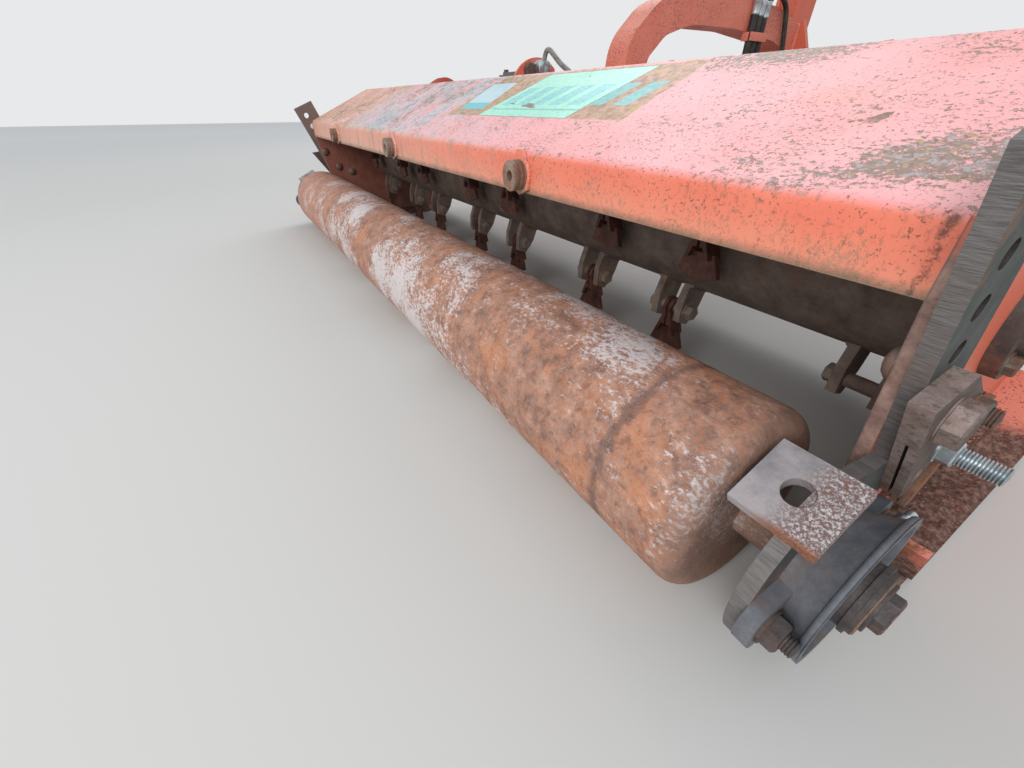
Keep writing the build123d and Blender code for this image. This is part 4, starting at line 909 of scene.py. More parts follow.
colour = coat(colour, srgb(158, 148, 128), column, 0.55)
edge_noise = madd(noise(here, 45.0, 5.0, 0.7), 0.012, axes["Z"])
edge_dirt = times(lip_face, ramp(edge_noise, LIP_FOOT_Z + 0.015, LIP_FOOT_Z + 0.007))
colour = coat(colour, srgb(116, 104, 84), edge_dirt, 0.8)
SEAM_X = 0.919
seam_noise = noise(here, 55.0, 5.0, 0.75)
seam_reach = maths("ABSOLUTE", minus(madd(seam_noise, 0.01, along_x), SEAM_X))
cracks = times(ramp(seam_reach, 0.0042, 0.0015), ramp(seam_noise, 0.44, 0.54))
cracks = times(cracks, ramp(up_slope, 0.012, 0.0))
colour = coat(colour, srgb(82, 64, 54), cracks, 0.8)
# the under side is painted a dull dark orange-brown, as painted shade under the hood
inside = ramp(facing_z, -0.2, -0.5)
colour = coat(colour, srgb(116, 92, 72), inside, 0.7)
height = madd(film, 0.5, wear["Height"])
height = madd(far_flecks, 0.5, height)
height = madd(lip_specks, 0.4, height)
height = madd(cracks, -0.8, height)
height = madd(grain_cover, 0.7, height)
rough = madd(film, -0.12, wear["Roughness"])
set_surface(tree, colour, rough, height, 0.6, 0.0012)
finish_nodes(hood_finish, "hood")

# Lip bosses: threaded steel bushes for a bolt-on guard that is gone, welded to the lip on pointed
# tabs. The tabs are painted with the hood and the bushes are rusty.
boss_rust = bare_metal("boss_rust", srgb(120, 98, 84), srgb(168, 146, 130), srgb(124, 80, 58), 0.2, 0.6,
                       0.35, 1.5)
finish_nodes(boss_rust, "lip_bosses")
boss_low, boss_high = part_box("lip_bosses")
BOSS_RADIUS = (boss_high.z - boss_low.z) / 2
boss_z = middle(boss_low, boss_high)[2]
boss_places = (boss_low.x + BOSS_RADIUS, -0.030, boss_high.x - BOSS_RADIUS)
tabs = bmesh.new()
bushes = bmesh.new()
TAB_LINE = [(-0.019, -0.016), (0.0, -0.024), (0.019, -0.016), (0.019, 0.006), (0.006, 0.030),
            (-0.006, 0.030), (-0.019, 0.006)]
for x in boss_places:
    add_prism(tabs, TAB_LINE, (x, LIP_Y - 0.0025, boss_z), (1, 0, 0), (0, 0, 1), 0.005, 0.0012)
    for y in (-0.0075, -0.0135, -0.0195):
        add_turned(bushes, band(0.0065, BOSS_RADIUS + 0.0012, 0.0035), (x, LIP_Y + y + 0.0035, boss_z),
                   (0, -1, 0), 30)
close_piece("boss_tabs", tabs, "head", "orange_paint", hood_finish)
close_piece("boss_rings", bushes, "head", "rusty_steel", boss_rust)
weld("boss_welds", [ring(x, LIP_Y - 0.0015, boss_z, BOSS_RADIUS + 0.001) for x in boss_places],
     "head", hood_finish, 0.003)

# End plates: flame-cut plates welded into the hood's ends, orange outside, rusty along their cut
# rear edges. The skids are bent runners bolted to their feet, caked with soil underneath.
plate_finish, tree = new_finish("end_plate_orange", 0.0, 0.4)
wear = weathered(tree, srgb(230, 122, 94), srgb(240, 156, 140), 0.8, 0.35, 0.3, 0.25)
here = local_place(tree)
axes = split(here)
normal = split(normal_in(tree))
cut_face = ramp(maths("ABSOLUTE", normal["X"]), 0.6, 0.3)
cut_low = ramp(axes["Z"], 0.345, 0.325)
cut_rust = mix(ramp(noise(here, 70.0, 6.0, 0.7), 0.35, 0.65), srgb(128, 100, 90), srgb(178, 146, 134))
colour = mix(times(cut_face, cut_low), wear["Color"], cut_rust)
grass_dust = ramp(madd(noise(here, 9.0, 5.0), 0.12, axes["Z"]), 0.17, 0.08)
colour = coat(colour, srgb(140, 112, 82), grass_dust, 0.55)
# painted shade: the inner faces of the end plates, inside the hood, are painted dark grey-brown
within = ramp(maths("ABSOLUTE", axes["X"]), 0.9215, 0.9195)
inner_shade_mottle = ramp(noise(here, 24.0, 6.0, 0.7), 0.35, 0.65)
inner_shade_tone = mix(inner_shade_mottle, srgb(74, 64, 58), srgb(118, 102, 92))
colour = coat(colour, inner_shade_tone, within, 0.92)
set_surface(tree, colour, wear["Roughness"], wear["Height"])
finish_nodes(plate_finish, "end_plate_left", "end_plate_right")

INNER_HEAD = turned_mesh("inner_head",
                         [(0, 0), (0, 0.0135), (0.003, 0.0125), (0.006, 0.0095), (0.0078, 0.005),
                          (0.0082, 0)], 20)
skid_finish, tree = new_finish("skid_mud", 0.0, 0.35)
wear = weathered(tree, srgb(216, 122, 100), srgb(228, 150, 132), 0.7, 0.5, 0.0, 0.3)
here = local_place(tree)
skid_z = split(here)["Z"]
clods = noise(here, 140.0, 6.0, 0.72)
mud_line = madd(noise(here, 22.0, 6.0, 0.75), 0.1, skid_z)
mud = times(ramp(mud_line, 0.105, 0.085), ramp(clods, 0.34, 0.42))
mud_tone = mix(ramp(clods, 0.42, 0.64), srgb(84, 62, 54), srgb(156, 124, 110))
set_surface(tree, mix(mud, wear["Color"], mud_tone), ramp(mud, 0.0, 1.0, 0.55, 0.95),
            madd(clods, mud, wear["Height"]), 0.8, 0.003)
finish_nodes(skid_finish, "skid_left", "skid_right")
CUP_HEAD = turned_mesh("cup_head", [(0, 0), (0, 0.0125), (0.002, 0.0120), (0.0045, 0.0095), (0.0062, 0.005),
                                    (0.0066, 0)], 20)
SIDES = (("left", -1), ("right", 1))
CRUST_ROWS, CRUST_COLUMNS = 30, 110
CRUST_FRONT, CRUST_RUN = -0.560, 0.38
RUNNER_TOP, CRUST_FOOT = 0.0079, 0.0070
PLATE_INSIDE, PLATE_OUTSIDE = 0.920, 0.938
INNER_BOLTS = ((-0.645, 0.252), (-0.606, 0.200), (-0.560, 0.180))
SKID_BOLTS, SKID_BOLT_Z = (-0.53, -0.403, -0.276), 0.052
for word, way in SIDES:
    inner_heads = [((way * PLATE_INSIDE, y, z), (-way, 0, 0)) for y, z in INNER_BOLTS]
    set_out("plate_heads_" + word, INNER_HEAD, inner_heads, "head", "dark_steel", plate_finish)
    skid_low, skid_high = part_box("skid_" + word)
    heads = [((way * PLATE_OUTSIDE, y, SKID_BOLT_Z), (way, 0, 0)) for y in SKID_BOLTS]
    set_out("skid_bolts_" + word, CUP_HEAD, heads, "head", "dark_steel", skid_finish)
    # a crust of soil on the runner's upper face, knobbly and broken at its edges
    x_in, x_out = way * 0.940, way * (abs(skid_high.x if way > 0 else skid_low.x) - 0.003)
    grid = bmesh.new()
    lattice = []
    for row in range(CRUST_ROWS + 1):
        line = []
        for column in range(CRUST_COLUMNS + 1):
            a, b = row / CRUST_ROWS, column / CRUST_COLUMNS
            x, y = x_in + (x_out - x_in) * a, CRUST_FRONT + CRUST_RUN * b
            bumps = turbulence.fractal(Vector((x, y, 0.3)) * 95.0, 0.6, 2.0, 5)
            lumps = turbulence.noise(Vector((x, y, 0.7)) * 32.0)
            rim = min(a, 1 - a, b, 1 - b) * 9
            rise = (0.0040 + 0.0034 * bumps + 0.005 * lumps) * min(1.0, rim)
            line.append(grid.verts.new((x, y, RUNNER_TOP + max(0.0, rise))))
        lattice.append(line)
    base = [[grid.verts.new((v.co.x, v.co.y, CRUST_FOOT)) for v in line] for line in lattice]
    for row in range(CRUST_ROWS):
        for column in range(CRUST_COLUMNS):
            for sheet in (lattice, base):
                low, high = sheet[row], sheet[row + 1]
                grid.faces.new((low[column], high[column], high[column + 1], low[column + 1]))
    for row in range(CRUST_ROWS):
        for k in (0, CRUST_COLUMNS):
            grid.faces.new((lattice[row][k], lattice[row + 1][k], base[row + 1][k], base[row][k]))
    for column in range(CRUST_COLUMNS):
        for top, foot in ((lattice[0], base[0]), (lattice[-1], base[-1])):
            grid.faces.new((top[column], top[column + 1], foot[column + 1], foot[column]))
    close_piece("skid_soil_" + word, grid, "head", "brown_paint", skid_finish, 1.4)

# Roller arms: thick flame-cut plates bolted to the end plates through a row of height holes,
# bare and dark outside, with the fine drag lines of the cutting flame across their edges.
arm_finish, tree = new_finish("arm_plate", 0.15, 0.4)
here = local_place(tree)
axes = split(here)
normal = split(normal_in(tree))
arm_edge = ramp(maths("ABSOLUTE", normal["X"]), 0.7, 0.3)
drag = noise(stretched(here, (70.0, 1300.0, 1300.0)), 1.0, 2.0, 0.6)
edge_tone = mix(ramp(drag, 0.36, 0.64), srgb(96, 93, 92), srgb(128, 124, 122))
edge_brown = ramp(noise(here, 16.0, 5.0, 0.7), 0.45, 0.62)
edge_tone = coat(edge_tone, srgb(120, 98, 86), edge_brown, 0.35)
face_wear = pitted(tree, srgb(56, 62, 60), srgb(82, 88, 84), srgb(92, 74, 64), 0.5, 0.25, 1.0)
inner_face = times(maths("SIGN", axes["X"]), normal["X"])
inner_face = ramp(inner_face, -0.5, -0.9, 0.0, 0.75)
face_tone = mix(inner_face, face_wear["Color"], srgb(132, 112, 104))
colour = mix(arm_edge, face_tone, edge_tone)
# the walls of the height holes are painted dark, as painted shade inside the holes
FIRST_HOLE, HOLE_ROW = (-0.642, 0.270), 0.1045
ROW_ALONG, ROW_ACROSS = (-0.373, 0.928), (0.928, 0.373)


def offset(place, seat):
    """A place counted from a seat."""
    return read("ShaderNodeVectorMath", {0: place, 1: seat}, operation="SUBTRACT")


hole_offset = offset(here, (0, *FIRST_HOLE))
hole_along, hole_aside = [along(hole_offset, (0, *way)) for way in (ROW_ALONG, ROW_ACROSS)]
hole_wall_shade = times(arm_edge, ramp(maths("ABSOLUTE", hole_aside), 0.0105, 0.0095))
hole_wall_shade = times(hole_wall_shade, ramp(hole_along, -0.0105, -0.0095))
hole_wall_shade = times(hole_wall_shade, ramp(hole_along, HOLE_ROW + 0.0105, HOLE_ROW + 0.0095))
colour = coat(colour, srgb(46, 42, 40), hole_wall_shade, 0.9)
# the scraper tab on the hub is paler, with white bloom at its outer side and a rusty rear corner
TAB_SEAT = (LIP_Y - 0.0561, 0.1688)
TAB_ACROSS, TAB_OUT = (0.899, 0.438), (-0.438, 0.899)
tab_offset = offset(here, (0, *TAB_SEAT))
tab_along, tab_rise = [along(tab_offset, (0, *way)) for way in (TAB_ACROSS, TAB_OUT)]
tab_place = times(ramp(maths("ABSOLUTE", tab_along), 0.0316, 0.0313), ramp(tab_rise, -0.0006, -0.0002))
tab_zone = noise(here, 26.0, 5.0, 0.65)
tab_fine = noise(here, 430.0, 4.0, 0.78)
tab_tone = mix(ramp(tab_zone, 0.4, 0.6), srgb(136, 133, 136), srgb(172, 165, 166))
tab_x = maths("ABSOLUTE", axes["X"])
outer_side = ramp(madd(tab_zone, 0.03, tab_x), 0.934, 0.952)
tab_tone = coat(tab_tone, srgb(128, 106, 104), outer_side, 0.75)
bloom = times(outer_side, ramp(tab_fine, 0.5, 0.57))
tab_rust = times(outer_side, ramp(tab_fine, 0.49, 0.42))
tab_tone = coat(tab_tone, srgb(120, 82, 66), tab_rust, 0.8)
tab_tone = coat(tab_tone, srgb(212, 206, 206), bloom, 0.85)
rear_edge = ramp(madd(tab_zone, 0.01, tab_along), -0.0215, -0.0265)
rear_edge = times(rear_edge, ramp(tab_x, 0.905, 0.925))
fresh = times(rear_edge, ramp(tab_fine, 0.42, 0.54))
tab_tone = coat(tab_tone, srgb(120, 84, 66), rear_edge, 0.5)
tab_tone = coat(tab_tone, srgb(178, 104, 58), fresh, 0.8)
colour = mix(tab_place, colour, tab_tone)
height = madd(times(arm_edge, drag), 0.8, face_wear["Height"])
height = madd(times(tab_place, bloom), 0.5, height)
set_surface(tree, colour, ramp(drag, 0.2, 0.8, 0.55, 0.75), height, 0.5, 0.001)
finish_nodes(arm_finish, "roller_arm_left", "roller_arm_right")

# Arm brackets: doubled cheek plates outside the arms, rusty pinkish grey, each held by a large
# bolt, with a loose clamp bolt in front and a laminated packing piece behind it.
bracket_steel, tree = new_finish("bracket_steel", 0.1, 0.4)
here = local_place(tree)
bracket_face = ramp(maths("ABSOLUTE", split(normal_in(tree))["X"]), 0.5, 0.9)
wear = pitted(tree, srgb(122, 106, 100), srgb(166, 148, 142), srgb(134, 106, 96), 0.6, 0.25, 1.2)
bracket_tone = mix(bracket_face, (1, 1, 1, 1), srgb(166, 162, 158))
bracket_tone = mix(1.0, wear["Color"], bracket_tone, "MULTIPLY")
bracket_grain = noise(here, 190.0, 4.0, 0.7)
bracket_tone = mix(ramp(bracket_grain, 0.52, 0.64, 0.0, 0.65), bracket_tone, srgb(84, 66, 58))
set_surface(tree, bracket_tone, wear["Roughness"], wear["Height"],
            0.5, 0.001)
finish_nodes(bracket_steel, "arm_bracket_left", "arm_bracket_right")
packing_rust = bare_metal("packing_rust", srgb(74, 56, 48), srgb(132, 98, 80), srgb(140, 88, 62), 0.1, 0.7,
                          0.6, 1.6, 0.7, 0.0015)
BRACKET_FACE, PACKING_FACE = 0.956, 0.9445
THREAD = 0.0078
clamp_bolt = hex_head(0.0118, 0.010, 0.0128, 0.0018, 0.028, THREAD)
head_bolt = hex_head(0.0172, 0.0125, 0.0168, 0.0014)
back_nut = hex_head(0.0120, 0.009, 0.0128, 0.0018, 0.006, THREAD)
PACKING_UP, PACKING_BACK = (0, 0.45, 0.89), (0, 0.89, -0.45)
for word, way in SIDES:
    for name, mesh, y, z, slot, finish in (
            ("bracket_bolt_", head_bolt, -0.640, 0.226, "dark_steel", bracket_steel),
            ("clamp_bolt_", clamp_bolt, -0.586, 0.176, "ground_steel", zinc),
            ("back_nut_", back_nut, -0.582, 0.212, "dark_steel", bolt_steel)):
        set_out(name + word, mesh, [((way * BRACKET_FACE, y, z), (way, 0, 0))], "head", slot, finish)
    packing = bmesh.new()
    for k, lean in enumerate((0.0, 0.002, 0.0)):
        outline = [(-0.060, lean), (0.050, -lean), (0.052, 0.020 - lean), (-0.058, 0.022 + lean)]
        add_prism(packing, outline, (way * (PACKING_FACE + 0.0062 * k), -0.560, 0.165),
                  PACKING_UP, PACKING_BACK, 0.0054, 0.0010)
    close_piece("packing_" + word, packing, "head", "rusty_steel", packing_rust)

# Roller bearings: two-bolt cast housings on the arms, flared to a rim and blue-grey with old
# paint, each with a collar, a washered end bolt and a grease nipple.
housing = bare_metal("cast_housing", srgb(84, 87, 94), srgb(122, 124, 130), srgb(100, 84, 76), 0.1, 0.55,
                     0.22, 0.9, 0.4)
finish_nodes(housing, "roller_bearing_left", "roller_bearing_right")
housing_bolt = hex_head(0.0138, 0.0100, 0.0150, 0.0025, 0.008, 0.0072)
cap_rust = bare_metal("cap_rust", srgb(62, 56, 56), srgb(96, 88, 86), srgb(98, 70, 58), 0.2, 0.55, 0.3, 1.3,
                      0.7)
ROLLER_Y, ROLLER_Z = LIP_Y - 0.021, 0.09685
BOLT_OFFSET, BOLT_TURN = 0.074, math.radians(6)
FLANGE_FACE, NIPPLE_FACE, HUB_FACE = 0.954, 0.968, 0.9705
RIM = [(0.9715, 0.0655), (0.9722, 0.0682), (0.9735, 0.0694), (0.9755, 0.0697), (0.9767, 0.0690),
       (0.9769, 0.0655), (0.9760, 0.0636), (0.9735, 0.0630)]
COLLAR = [(0, 0.0272), (0.0, 0.0300), (0.004, 0.0305), (0.0045, 0.0285), (0.0090, 0.0285), (0.0095, 0.0310),
          (0.0135, 0.0310), (0.0140, 0.0282), (0.0172, 0.0282), (0.0176, 0.0272)]
END_WASHER = [(0.0186, 0), (0.0186, 0.0215), (0.0205, 0.0215), (0.0210, 0.0205), (0.0210, 0)]
END_BOLT = [(0.0195, 0), (0.0195, 0.0160), (0.0278, 0.0160), (0.0292, 0.0143), (0.0292, 0)]
for word, way in SIDES:
    places = []
    for reach in (-BOLT_OFFSET, BOLT_OFFSET):
        y = ROLLER_Y + reach * math.cos(BOLT_TURN)
        z = ROLLER_Z + reach * math.sin(BOLT_TURN)
        places.append(((way * FLANGE_FACE, y, z), (way, 0, 0)))
    set_out("housing_bolts_" + word, housing_bolt, places, "head", "dark_steel", cap_rust)
    seat = (way * NIPPLE_FACE, ROLLER_Y + 0.052, ROLLER_Z + 0.036)
    set_out("housing_nipple_" + word, NIPPLE, [(seat, (way * 0.2, 0.78, 0.6))], "head", "ground_steel",
            zinc, 1.2)
    rim = bmesh.new()
    add_turned(rim, RIM, (0, ROLLER_Y, ROLLER_Z), (way, 0, 0), 64)
    close_piece("housing_rim_" + word, rim, "head", "cast", housing, 1.2)
    hub = bmesh.new()
    for profile, segments in ((COLLAR, 44), (END_WASHER, 36), (END_BOLT, 6)):
        add_turned(hub, profile, (way * HUB_FACE, ROLLER_Y, ROLLER_Z), (way, 0, 0), segments)
    close_piece("roller_hub_" + word, hub, "roller", "cast", cap_rust)

# Roller: a rolled tube with its ends turned over, welded round near each end and polished by the
# ground into grey-white smears between bands of orange-brown rust.
roller_finish, tree = new_finish("roller_rust", 0.0, 0.5)
here = local_place(tree)
roller_x = split(here)["X"]
roller_wide = noise(here, 7.0, 5.0, 0.62)
roller_fine = noise(stretched(here, (1.0, 1.6, 1.6)), 150.0, 4.0, 0.74)
roller_mid = noise(here, 46.0, 6.0, 0.72)
rust_dark = mix(ramp(roller_mid, 0.36, 0.64), srgb(134, 102, 90), srgb(198, 154, 132))
rust_fresh = ramp(noise(here, 17.0, 9.0, 0.74), 0.5, 0.62)
colour = mix(times(rust_fresh, 0.75), rust_dark, srgb(202, 138, 102))
roller_dark = ramp(noise(here, 85.0, 6.0, 0.78), 0.51, 0.62, 0.0, 0.6)
colour = mix(roller_dark, colour, srgb(102, 76, 68))
roller_flecks = ramp(noise(here, 240.0, 3.0, 0.75), 0.53, 0.6, 0.0, 0.6)
colour = mix(roller_flecks, colour, srgb(188, 116, 76))
end_reach = maths("ABSOLUTE", roller_x)
toward_end = ramp(end_reach, 0.55, 0.84)
rub = madd(roller_wide, 1.7, times(toward_end, -0.14))
rub = madd(roller_mid, 0.35, rub)
rub = madd(roller_fine, 1.3, rub)
rubbed = ramp(rub, 1.69, 1.86)
colour = coat(colour, srgb(222, 214, 214), rubbed, 0.85)
seam = maths("ABSOLUTE", minus(end_reach, 0.79))
seam = ramp(madd(roller_mid, 0.01, seam), 0.0125, 0.0065)
colour = coat(colour, srgb(84, 72, 72), seam, 0.5)
end_face = ramp(end_reach, 0.862, 0.882)
colour = coat(colour, srgb(118, 98, 88), end_face, 0.55)
far_peach = ramp(roller_x, -0.25, -0.75)
colour = coat(colour, srgb(206, 150, 128), far_peach, 0.45)
height = madd(roller_mid, 0.7, roller_fine)
height = madd(seam, -1.1, height)
set_surface(tree, colour, ramp(rubbed, 0.0, 1.0, 0.72, 0.42), height, 0.7, 0.0018)
finish_nodes(roller_finish, "roller")

# Rotor: a thick tube with welded lug pairs and a stub shaft in each end, dusty brown-grey with
# dried grass. Each flail hangs on a bolt through its two lugs.
rotor_finish = bare_metal("rotor_dust", srgb(112, 97, 88), srgb(160, 140, 126), srgb(120, 96, 82), 0.0,
                          0.75, 0.2, 0.8, 0.6, 0.0015)
finish_nodes(rotor_finish, "rotor")
ROTOR_Y, ROTOR_Z = LIP_Y + 0.278, 0.238
TUBE_RADIUS, PIVOT_RADIUS = 0.084, 0.122
LUG_OUT = 0.029
STATION_PITCH, LAST_STATION = 0.475, 0.855
lug_bolts = []
lug_welds = []
FLAIL_ROWS = ((-110, -0.850), (-110, -0.570), (160, -0.770), (160, -0.470),
              (70, -0.690), (70, -0.390), (-20, -0.830), (-20, -0.530))
for angle, first in FLAIL_ROWS:
    turn = math.radians(angle)
    outward, around = Vector((0, math.cos(turn), math.sin(turn))), Vector((0, -math.sin(turn),
                                                                           math.cos(turn)))
    hub_middle = Vector((0, ROTOR_Y, ROTOR_Z))
    for step in range(int((LAST_STATION + 1e-6 - first) // STATION_PITCH) + 1):
        x = first + step * STATION_PITCH
        for way in (-1, 1):
            pivot = hub_middle + outward * PIVOT_RADIUS + Vector((x + way * LUG_OUT, 0, 0))
            lug_bolts.append((tuple(pivot), (way, 0, 0)))
            root = hub_middle + outward * (TUBE_RADIUS - 0.002) + Vector((x + way * LUG_OUT, 0, 0))
            lug_welds.append([tuple(root + around * b) for b in (-0.021, -0.010, 0.010, 0.021)])
set_out("lug_bolts", MID_BOLT, lug_bolts, "rotor", "dark_steel", rotor_finish, 1.15)
weld("lug_welds", lug_welds, "rotor", rotor_finish, 0.0045)

# Flails: forged steel paddles, each hung by a pair of bent straps on one bolt. They are dark
# red-brown with rust.
flail_finish = bare_metal("flail_forging", srgb(72, 42, 36), srgb(110, 70, 60), srgb(96, 52, 40), 0.1, 0.65,
                          0.35, 1.2, 0.5)
finish_nodes(flail_finish, "flails")

# Rotor bearing: a round cast housing on the near end plate, dark with rust, held by four bolts
# through its flange and greased through a nipple on top.
dark_cast = bare_metal("dark_cast", srgb(64, 60, 58), srgb(94, 88, 84), srgb(98, 70, 56), 0.1, 0.6, 0.35,
                       0.9, 0.45)
finish_nodes(dark_cast, "rotor_bearing")
bearing_low, bearing_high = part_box("rotor_bearing")
HEAD_BOLTS = ("head", "dark_steel", bolt_steel)
HEAD_ZINC = ("head", "ground_steel", zinc)


def around(count, radius, first):
    """Offsets evenly round a circle, from a first angle in degrees."""
    turns = [math.radians(first + 360 // count * k) for k in range(count)]
    return [(radius * math.cos(turn), radius * math.sin(turn)) for turn in turns]


flange_bolts = [((bearing_low.x + 0.014, ROTOR_Y + a, ROTOR_Z + b), (1, 0, 0))
                for a, b in around(4, 0.057, 45)]
set_out("bearing_bolts", MID_BOLT, flange_bolts, *HEAD_BOLTS)
NIPPLE_RISE = 0.0455
bearing_top = (bearing_high.x - 0.018, ROTOR_Y, ROTOR_Z + NIPPLE_RISE)
set_out("bearing_nipple", NIPPLE, [(bearing_top, (0, 0, 1))], *HEAD_ZINC)

# Gearbox: a grey cast case on the front beam, with a bolted flange round the input shaft, three
# ribs on its far side and a bolted cover on top.
gear_grey = painted("gearbox_grey", srgb(104, 106, 106), srgb(138, 138, 134), 0.6, 0.8, 0.2, 0.3)
finish_nodes(gear_grey, "gearbox")
gear_low, gear_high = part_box("gearbox")
gear_x, gear_y, _ = middle(gear_low, gear_high)
shaft_low, shaft_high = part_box("input_shaft")
drive_z = middle(shaft_low, shaft_high)[2]
castings = bmesh.new()
INPUT_FLANGE = [(-0.002, 0.0185), (-0.002, 0.040), (0.010, 0.040), (0.012, 0.036), (0.012, 0.026),
                (0.020, 0.024), (0.020, 0.0185)]
COVER_HALF, RIB_HALF, RIB_SPACING = 0.042, 0.004, 0.034
add_turned(castings, INPUT_FLANGE, (gear_x, gear_high.y, drive_z), (0, 1, 0), 40)
for y in (gear_y - RIB_SPACING, gear_y, gear_y + RIB_SPACING):
    add_prism(castings, oblong(-0.046, 0.042, RIB_HALF), (gear_low.x, y, drive_z - 0.008),
              (0, 0, 1), (0, 1, 0), 0.010, 0.002)
add_prism(castings, oblong(-0.055, 0.055, COVER_HALF), (gear_x, gear_y, gear_high.z + 0.003),
          (1, 0, 0), (0, 1, 0), 0.008, 0.002)
close_piece("gearbox_castings", castings, "head", "grey_paint", gear_grey)
cover_bolts = [((gear_x + a * 0.047, gear_y + b * 0.034, gear_high.z + 0.007), (0, 0, 1))
               for a in (-1, 1) for b in (-1, 1)]
cover_bolts += [((gear_x + a, gear_high.y + 0.010, drive_z + b), (0, 1, 0))
                for a, b in around(6, 0.033, 30)]
set_out("gearbox_bolts", SMALL_BOLT, cover_bolts, *HEAD_BOLTS)

# Shaft guard: an orange disc on the gearbox's near side, with a plated oil union, its nut and a
# bent grey breather pipe that runs back over the beam.
guard_orange = painted("guard_orange", srgb(228, 118, 96), srgb(232, 150, 134), 0.6, 0.7, 0.2, 0.15)
finish_nodes(guard_orange, "shaft_guard")
guard_low, guard_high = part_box("shaft_guard")
UNION_Z = 0.488
union_seat = guard_low.x + 0.008
union_nut = hex_head(0.0190, 0.012, 0.0175, 0.003)
set_out("union_nut", union_nut, [((union_seat, gear_y - 0.030, UNION_Z - 0.004), (1, 0, 0))], *HEAD_BOLTS)
unions = bmesh.new()
UNION = [(0.0, 0.0150), (0.0, 0.0200), (0.010, 0.0205), (0.012, 0.0175), (0.020, 0.0175), (0.022, 0.0195),
         (0.036, 0.0195), (0.038, 0.0165), (0.0455, 0.0165), (0.0465, 0.0145), (0.0465, 0)]
add_turned(unions, UNION, (union_seat, gear_y, UNION_Z), (1, 0, 0), 28)
close_piece("oil_union", unions, *HEAD_ZINC)
pipe_grey = bare_metal("pipe_grey", srgb(112, 112, 110), srgb(150, 150, 146), srgb(112, 96, 84), 0.2, 0.5,
                       0.15, 2.0, 0.2)
PIPE_FOOT_Z = 0.3700
pipe_run = [(guard_high.x + out, gear_y + across, UNION_Z + rise) for out, across, rise in (
    (-0.012, 0, 0.010), (-0.010, 0, 0.030), (0.004, 0.002, 0.044), (0.030, 0.004, 0.026),
    (0.060, 0.006, 0.004), (0.110, 0.004, -0.016), (0.150, 0, -0.050))]
pipe_run.append((guard_high.x + 0.156, gear_y, PIPE_FOOT_Z))
bent_bar("breather_pipe", pipe_run, 0.0065, "head", pipe_grey)

# Drive tube and belt case: the cross shaft runs in a tube with a bolted flange at each end, to a
# pressed case with a rim, a seam and a ring of cover screws.
case_orange = painted("case_orange", srgb(196, 90, 74), srgb(214, 134, 116), 0.7, 0.7, 0.4, 0.25)
finish_nodes(case_orange, "drive_tube", "belt_case")
tube_low, tube_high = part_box("drive_tube")
TUBE_OUT = (tube_high.z - tube_low.z) / 2
flanges = bmesh.new()
FLANGE = [(0.0003, TUBE_OUT - 0.001), (0.0003, 0.052), (0.009, 0.052), (0.010, 0.050),
          (0.010, TUBE_OUT - 0.001)]
flange_places = []
for x, way in ((tube_low.x, 1), (tube_high.x, -1)):
    add_turned(flanges, FLANGE, (x, gear_y, drive_z), (way, 0, 0), 40)
    flange_places += [((x + way * 0.010, gear_y + a, drive_z + b), (way, 0, 0))
                      for a, b in around(6, 0.043, 30)]
close_piece("drive_flanges", flanges, "head", "orange_paint", case_orange)
set_out("flange_bolts", SMALL_BOLT, flange_places, *HEAD_BOLTS, 0.9)
case_low, case_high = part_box("belt_case")


def case_outline(grow, steps=14):
    """The belt case's outline in Y and Z, round both pulleys, moved out by a distance."""
    low_r, high_r = 0.105 + grow, 0.060 + grow
    reach = Vector((gear_y - ROTOR_Y, drive_z - ROTOR_Z))
    heading = math.atan2(reach.y, reach.x)
    lean = math.acos((low_r - high_r) / reach.length)
    line = []
    for y, z, radius, start, sweep, count in (
            (ROTOR_Y, ROTOR_Z, low_r, heading + lean, 2 * math.pi - 2 * lean, steps * 2),
            (gear_y, drive_z, high_r, heading - lean, 2 * lean, steps)):
        turns = [start + sweep * k / count for k in range(count + 1)]
        line += [(y + radius * math.cos(turn), z + radius * math.sin(turn)) for turn in turns]
    return line


rim_piece = bmesh.new()
for x, thick in ((case_low.x + 0.030, 0.005), (case_high.x - 0.006, 0.006)):
    outer, inner = case_outline(0.006), case_outline(-0.001)
    layers = [[rim_piece.verts.new((x + w * thick / 2, y, z)) for y, z in line]
              for line in (outer, inner) for w in (-1, 1)]
    for k in range(len(outer)):
        m = (k + 1) % len(outer)
        for a, b in ((0, 1), (1, 3), (3, 2), (2, 0)):
            rim_piece.faces.new((layers[a][k], layers[a][m], layers[b][m], layers[b][k]))
close_piece("case_rims", rim_piece, "head", "orange_paint", case_orange)
cover = bmesh.new()
COVER_FACE = case_low.x - 0.0013
middle_y, middle_z = (ROTOR_Y + gear_y) / 2, (ROTOR_Z + drive_z) / 2
cover_line = [(y - middle_y, z - middle_z) for y, z in case_outline(-0.007)]
add_prism(cover, cover_line, (case_low.x - 0.0005, middle_y, middle_z), (0, 1, 0), (0, 0, 1), 0.0018,
          0.0005)
for y, z, radius in ((ROTOR_Y, ROTOR_Z, 0.056), (gear_y, drive_z, 0.030)):
    pressed = [(0, radius - 0.010), (0.0018, radius - 0.007), (0.0022, radius), (0.0018, radius + 0.004),
               (0, radius + 0.006)]
    add_turned(cover, pressed, (COVER_FACE, y, z), (-1, 0, 0), 44)
close_piece("case_cover", cover, "head", "orange_paint", case_orange)
screws = [((COVER_FACE, y, z), (-1, 0, 0)) for y, z in case_outline(-0.015)[::4]]
set_out("case_screws", INNER_HEAD, screws, *HEAD_BOLTS, 0.31)

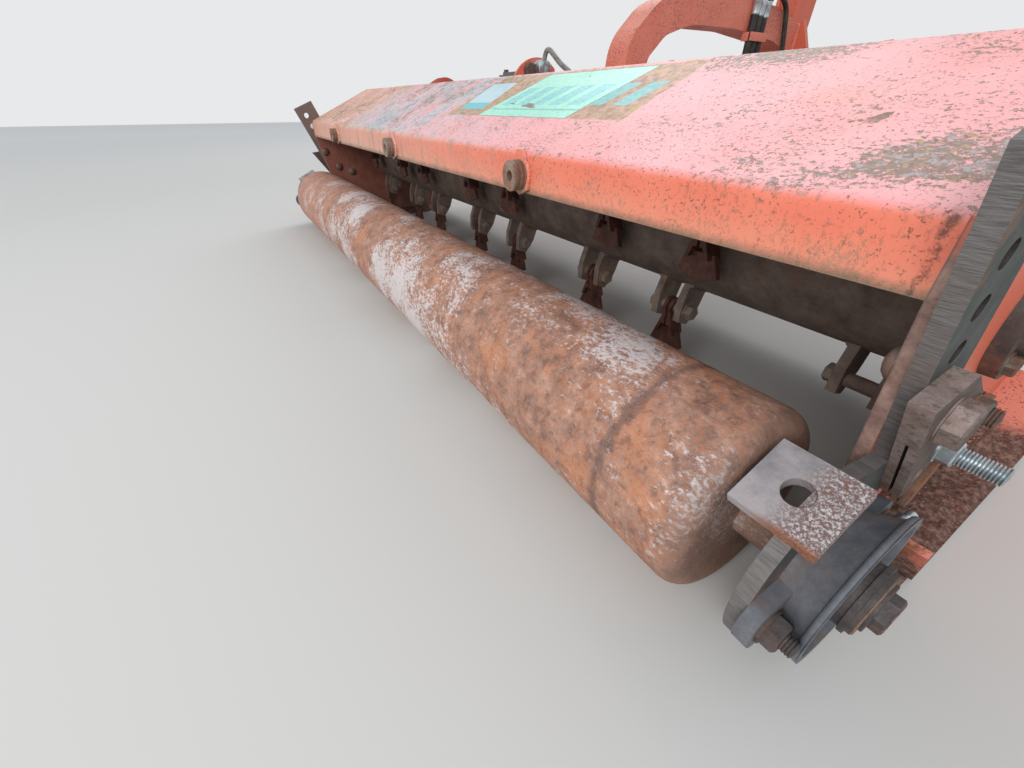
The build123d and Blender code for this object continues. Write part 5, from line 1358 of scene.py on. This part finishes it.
# Front beam: a square tube along the hood's front edge with the pivot ears and the cylinder lug
# welded on. The tilt cylinder lies in front of it, black with plated rod and unions.
finish_nodes(frame_orange, "front_beam")
beam_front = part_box("front_beam")[0].y
BEAM_TOP, BEAM_BACK = 0.370, -0.088
EAR_BASE, EAR_PLATE = 0.066, 0.012
ROD_EYE_X, ROD_LUG_Z = neck_x - 0.700, 0.304
beam_welds = [[(neck_x - EAR_BASE, y, BEAM_TOP), (neck_x + EAR_BASE, y, BEAM_TOP)]
              for y in (beam_front, beam_front + EAR_PLATE, -0.100, BEAM_BACK)]
beam_welds.append([(ROD_EYE_X - 0.030, BEAM_BACK, ROD_LUG_Z), (ROD_EYE_X + 0.030, BEAM_BACK, ROD_LUG_Z)])
beam_welds.append([(hood_low.x + 0.004, beam_front, BEAM_TOP), (hood_high.x - 0.004, beam_front, BEAM_TOP)])
weld("beam_welds", beam_welds, "head", frame_orange)
reach = Vector((-0.700, 0, 0.090)).normalized()
cyl_low, cyl_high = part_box("tilt_barrel")
crank_eye = Vector((neck_x, middle(cyl_low, cyl_high)[1], crank_z))
collar = bmesh.new()
BARREL_SKIN = 0.0295
for distance, wide, grow in ((0.488, 0.020, 0.005), (0.060, 0.010, 0.003)):
    add_turned(collar, band(BARREL_SKIN, 0.030 + grow, wide, 0.002), crank_eye + reach * distance, reach,
               40)
for distance in (0.075, 0.460):
    port = crank_eye + reach * distance + Vector((0, 0.029, 0))
    add_turned(collar, stepped((0.010, 0.013), (0.024, 0.0095)), port, (0, 1, 0), 20)
close_piece("tilt_barrel_fittings", collar, "tilt_barrel", "black_paint", black_enamel)

# Front flap: a curtain of rubber strips, dusty and scuffed, clamped under the front beam by a
# painted steel bar with a small bolt through each strip.
flap_rubber, tree = new_finish("flap_rubber", 0.0, 0.3)
here = local_place(tree)
flap_dust = ramp(noise(here, 12.0, 6.0, 0.7), 0.38, 0.7)
flap_scuff = noise(stretched(here, (5.0, 1.0, 0.6)), 40.0, 5.0, 0.7)
colour = mix(flap_dust, srgb(38, 37, 36), srgb(98, 88, 76))
colour = mix(ramp(flap_scuff, 0.55, 0.7, 0.0, 0.4), colour, srgb(120, 112, 100))
set_surface(tree, colour, ramp(flap_dust, 0.0, 1.0, 0.6, 0.95), flap_scuff, 0.4, 0.001)
finish_nodes(flap_rubber, "front_flap")
flap_low, flap_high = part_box("front_flap")
bar = bmesh.new()
BAR_FACE = flap_low.y - 0.0025
BAR_Z = flap_high.z - 0.018
add_prism(bar, oblong(flap_low.x + 0.004, flap_high.x - 0.004, 0.014), (0, BAR_FACE, BAR_Z), (1, 0, 0),
          (0, 0, 1), 0.005, 0.001)
close_piece("flap_bar", bar, "head", "orange_paint", frame_orange)
STRIPS = 16
STRIP = (flap_high.x - flap_low.x) / STRIPS
bar_places = [((flap_low.x + STRIP * (k + 0.5), BAR_FACE - 0.0025, BAR_Z),
               (0, -1, 0)) for k in range(STRIPS)]
set_out("flap_bolts", SMALL_BOLT, bar_places, *HEAD_BOLTS)

low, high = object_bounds()
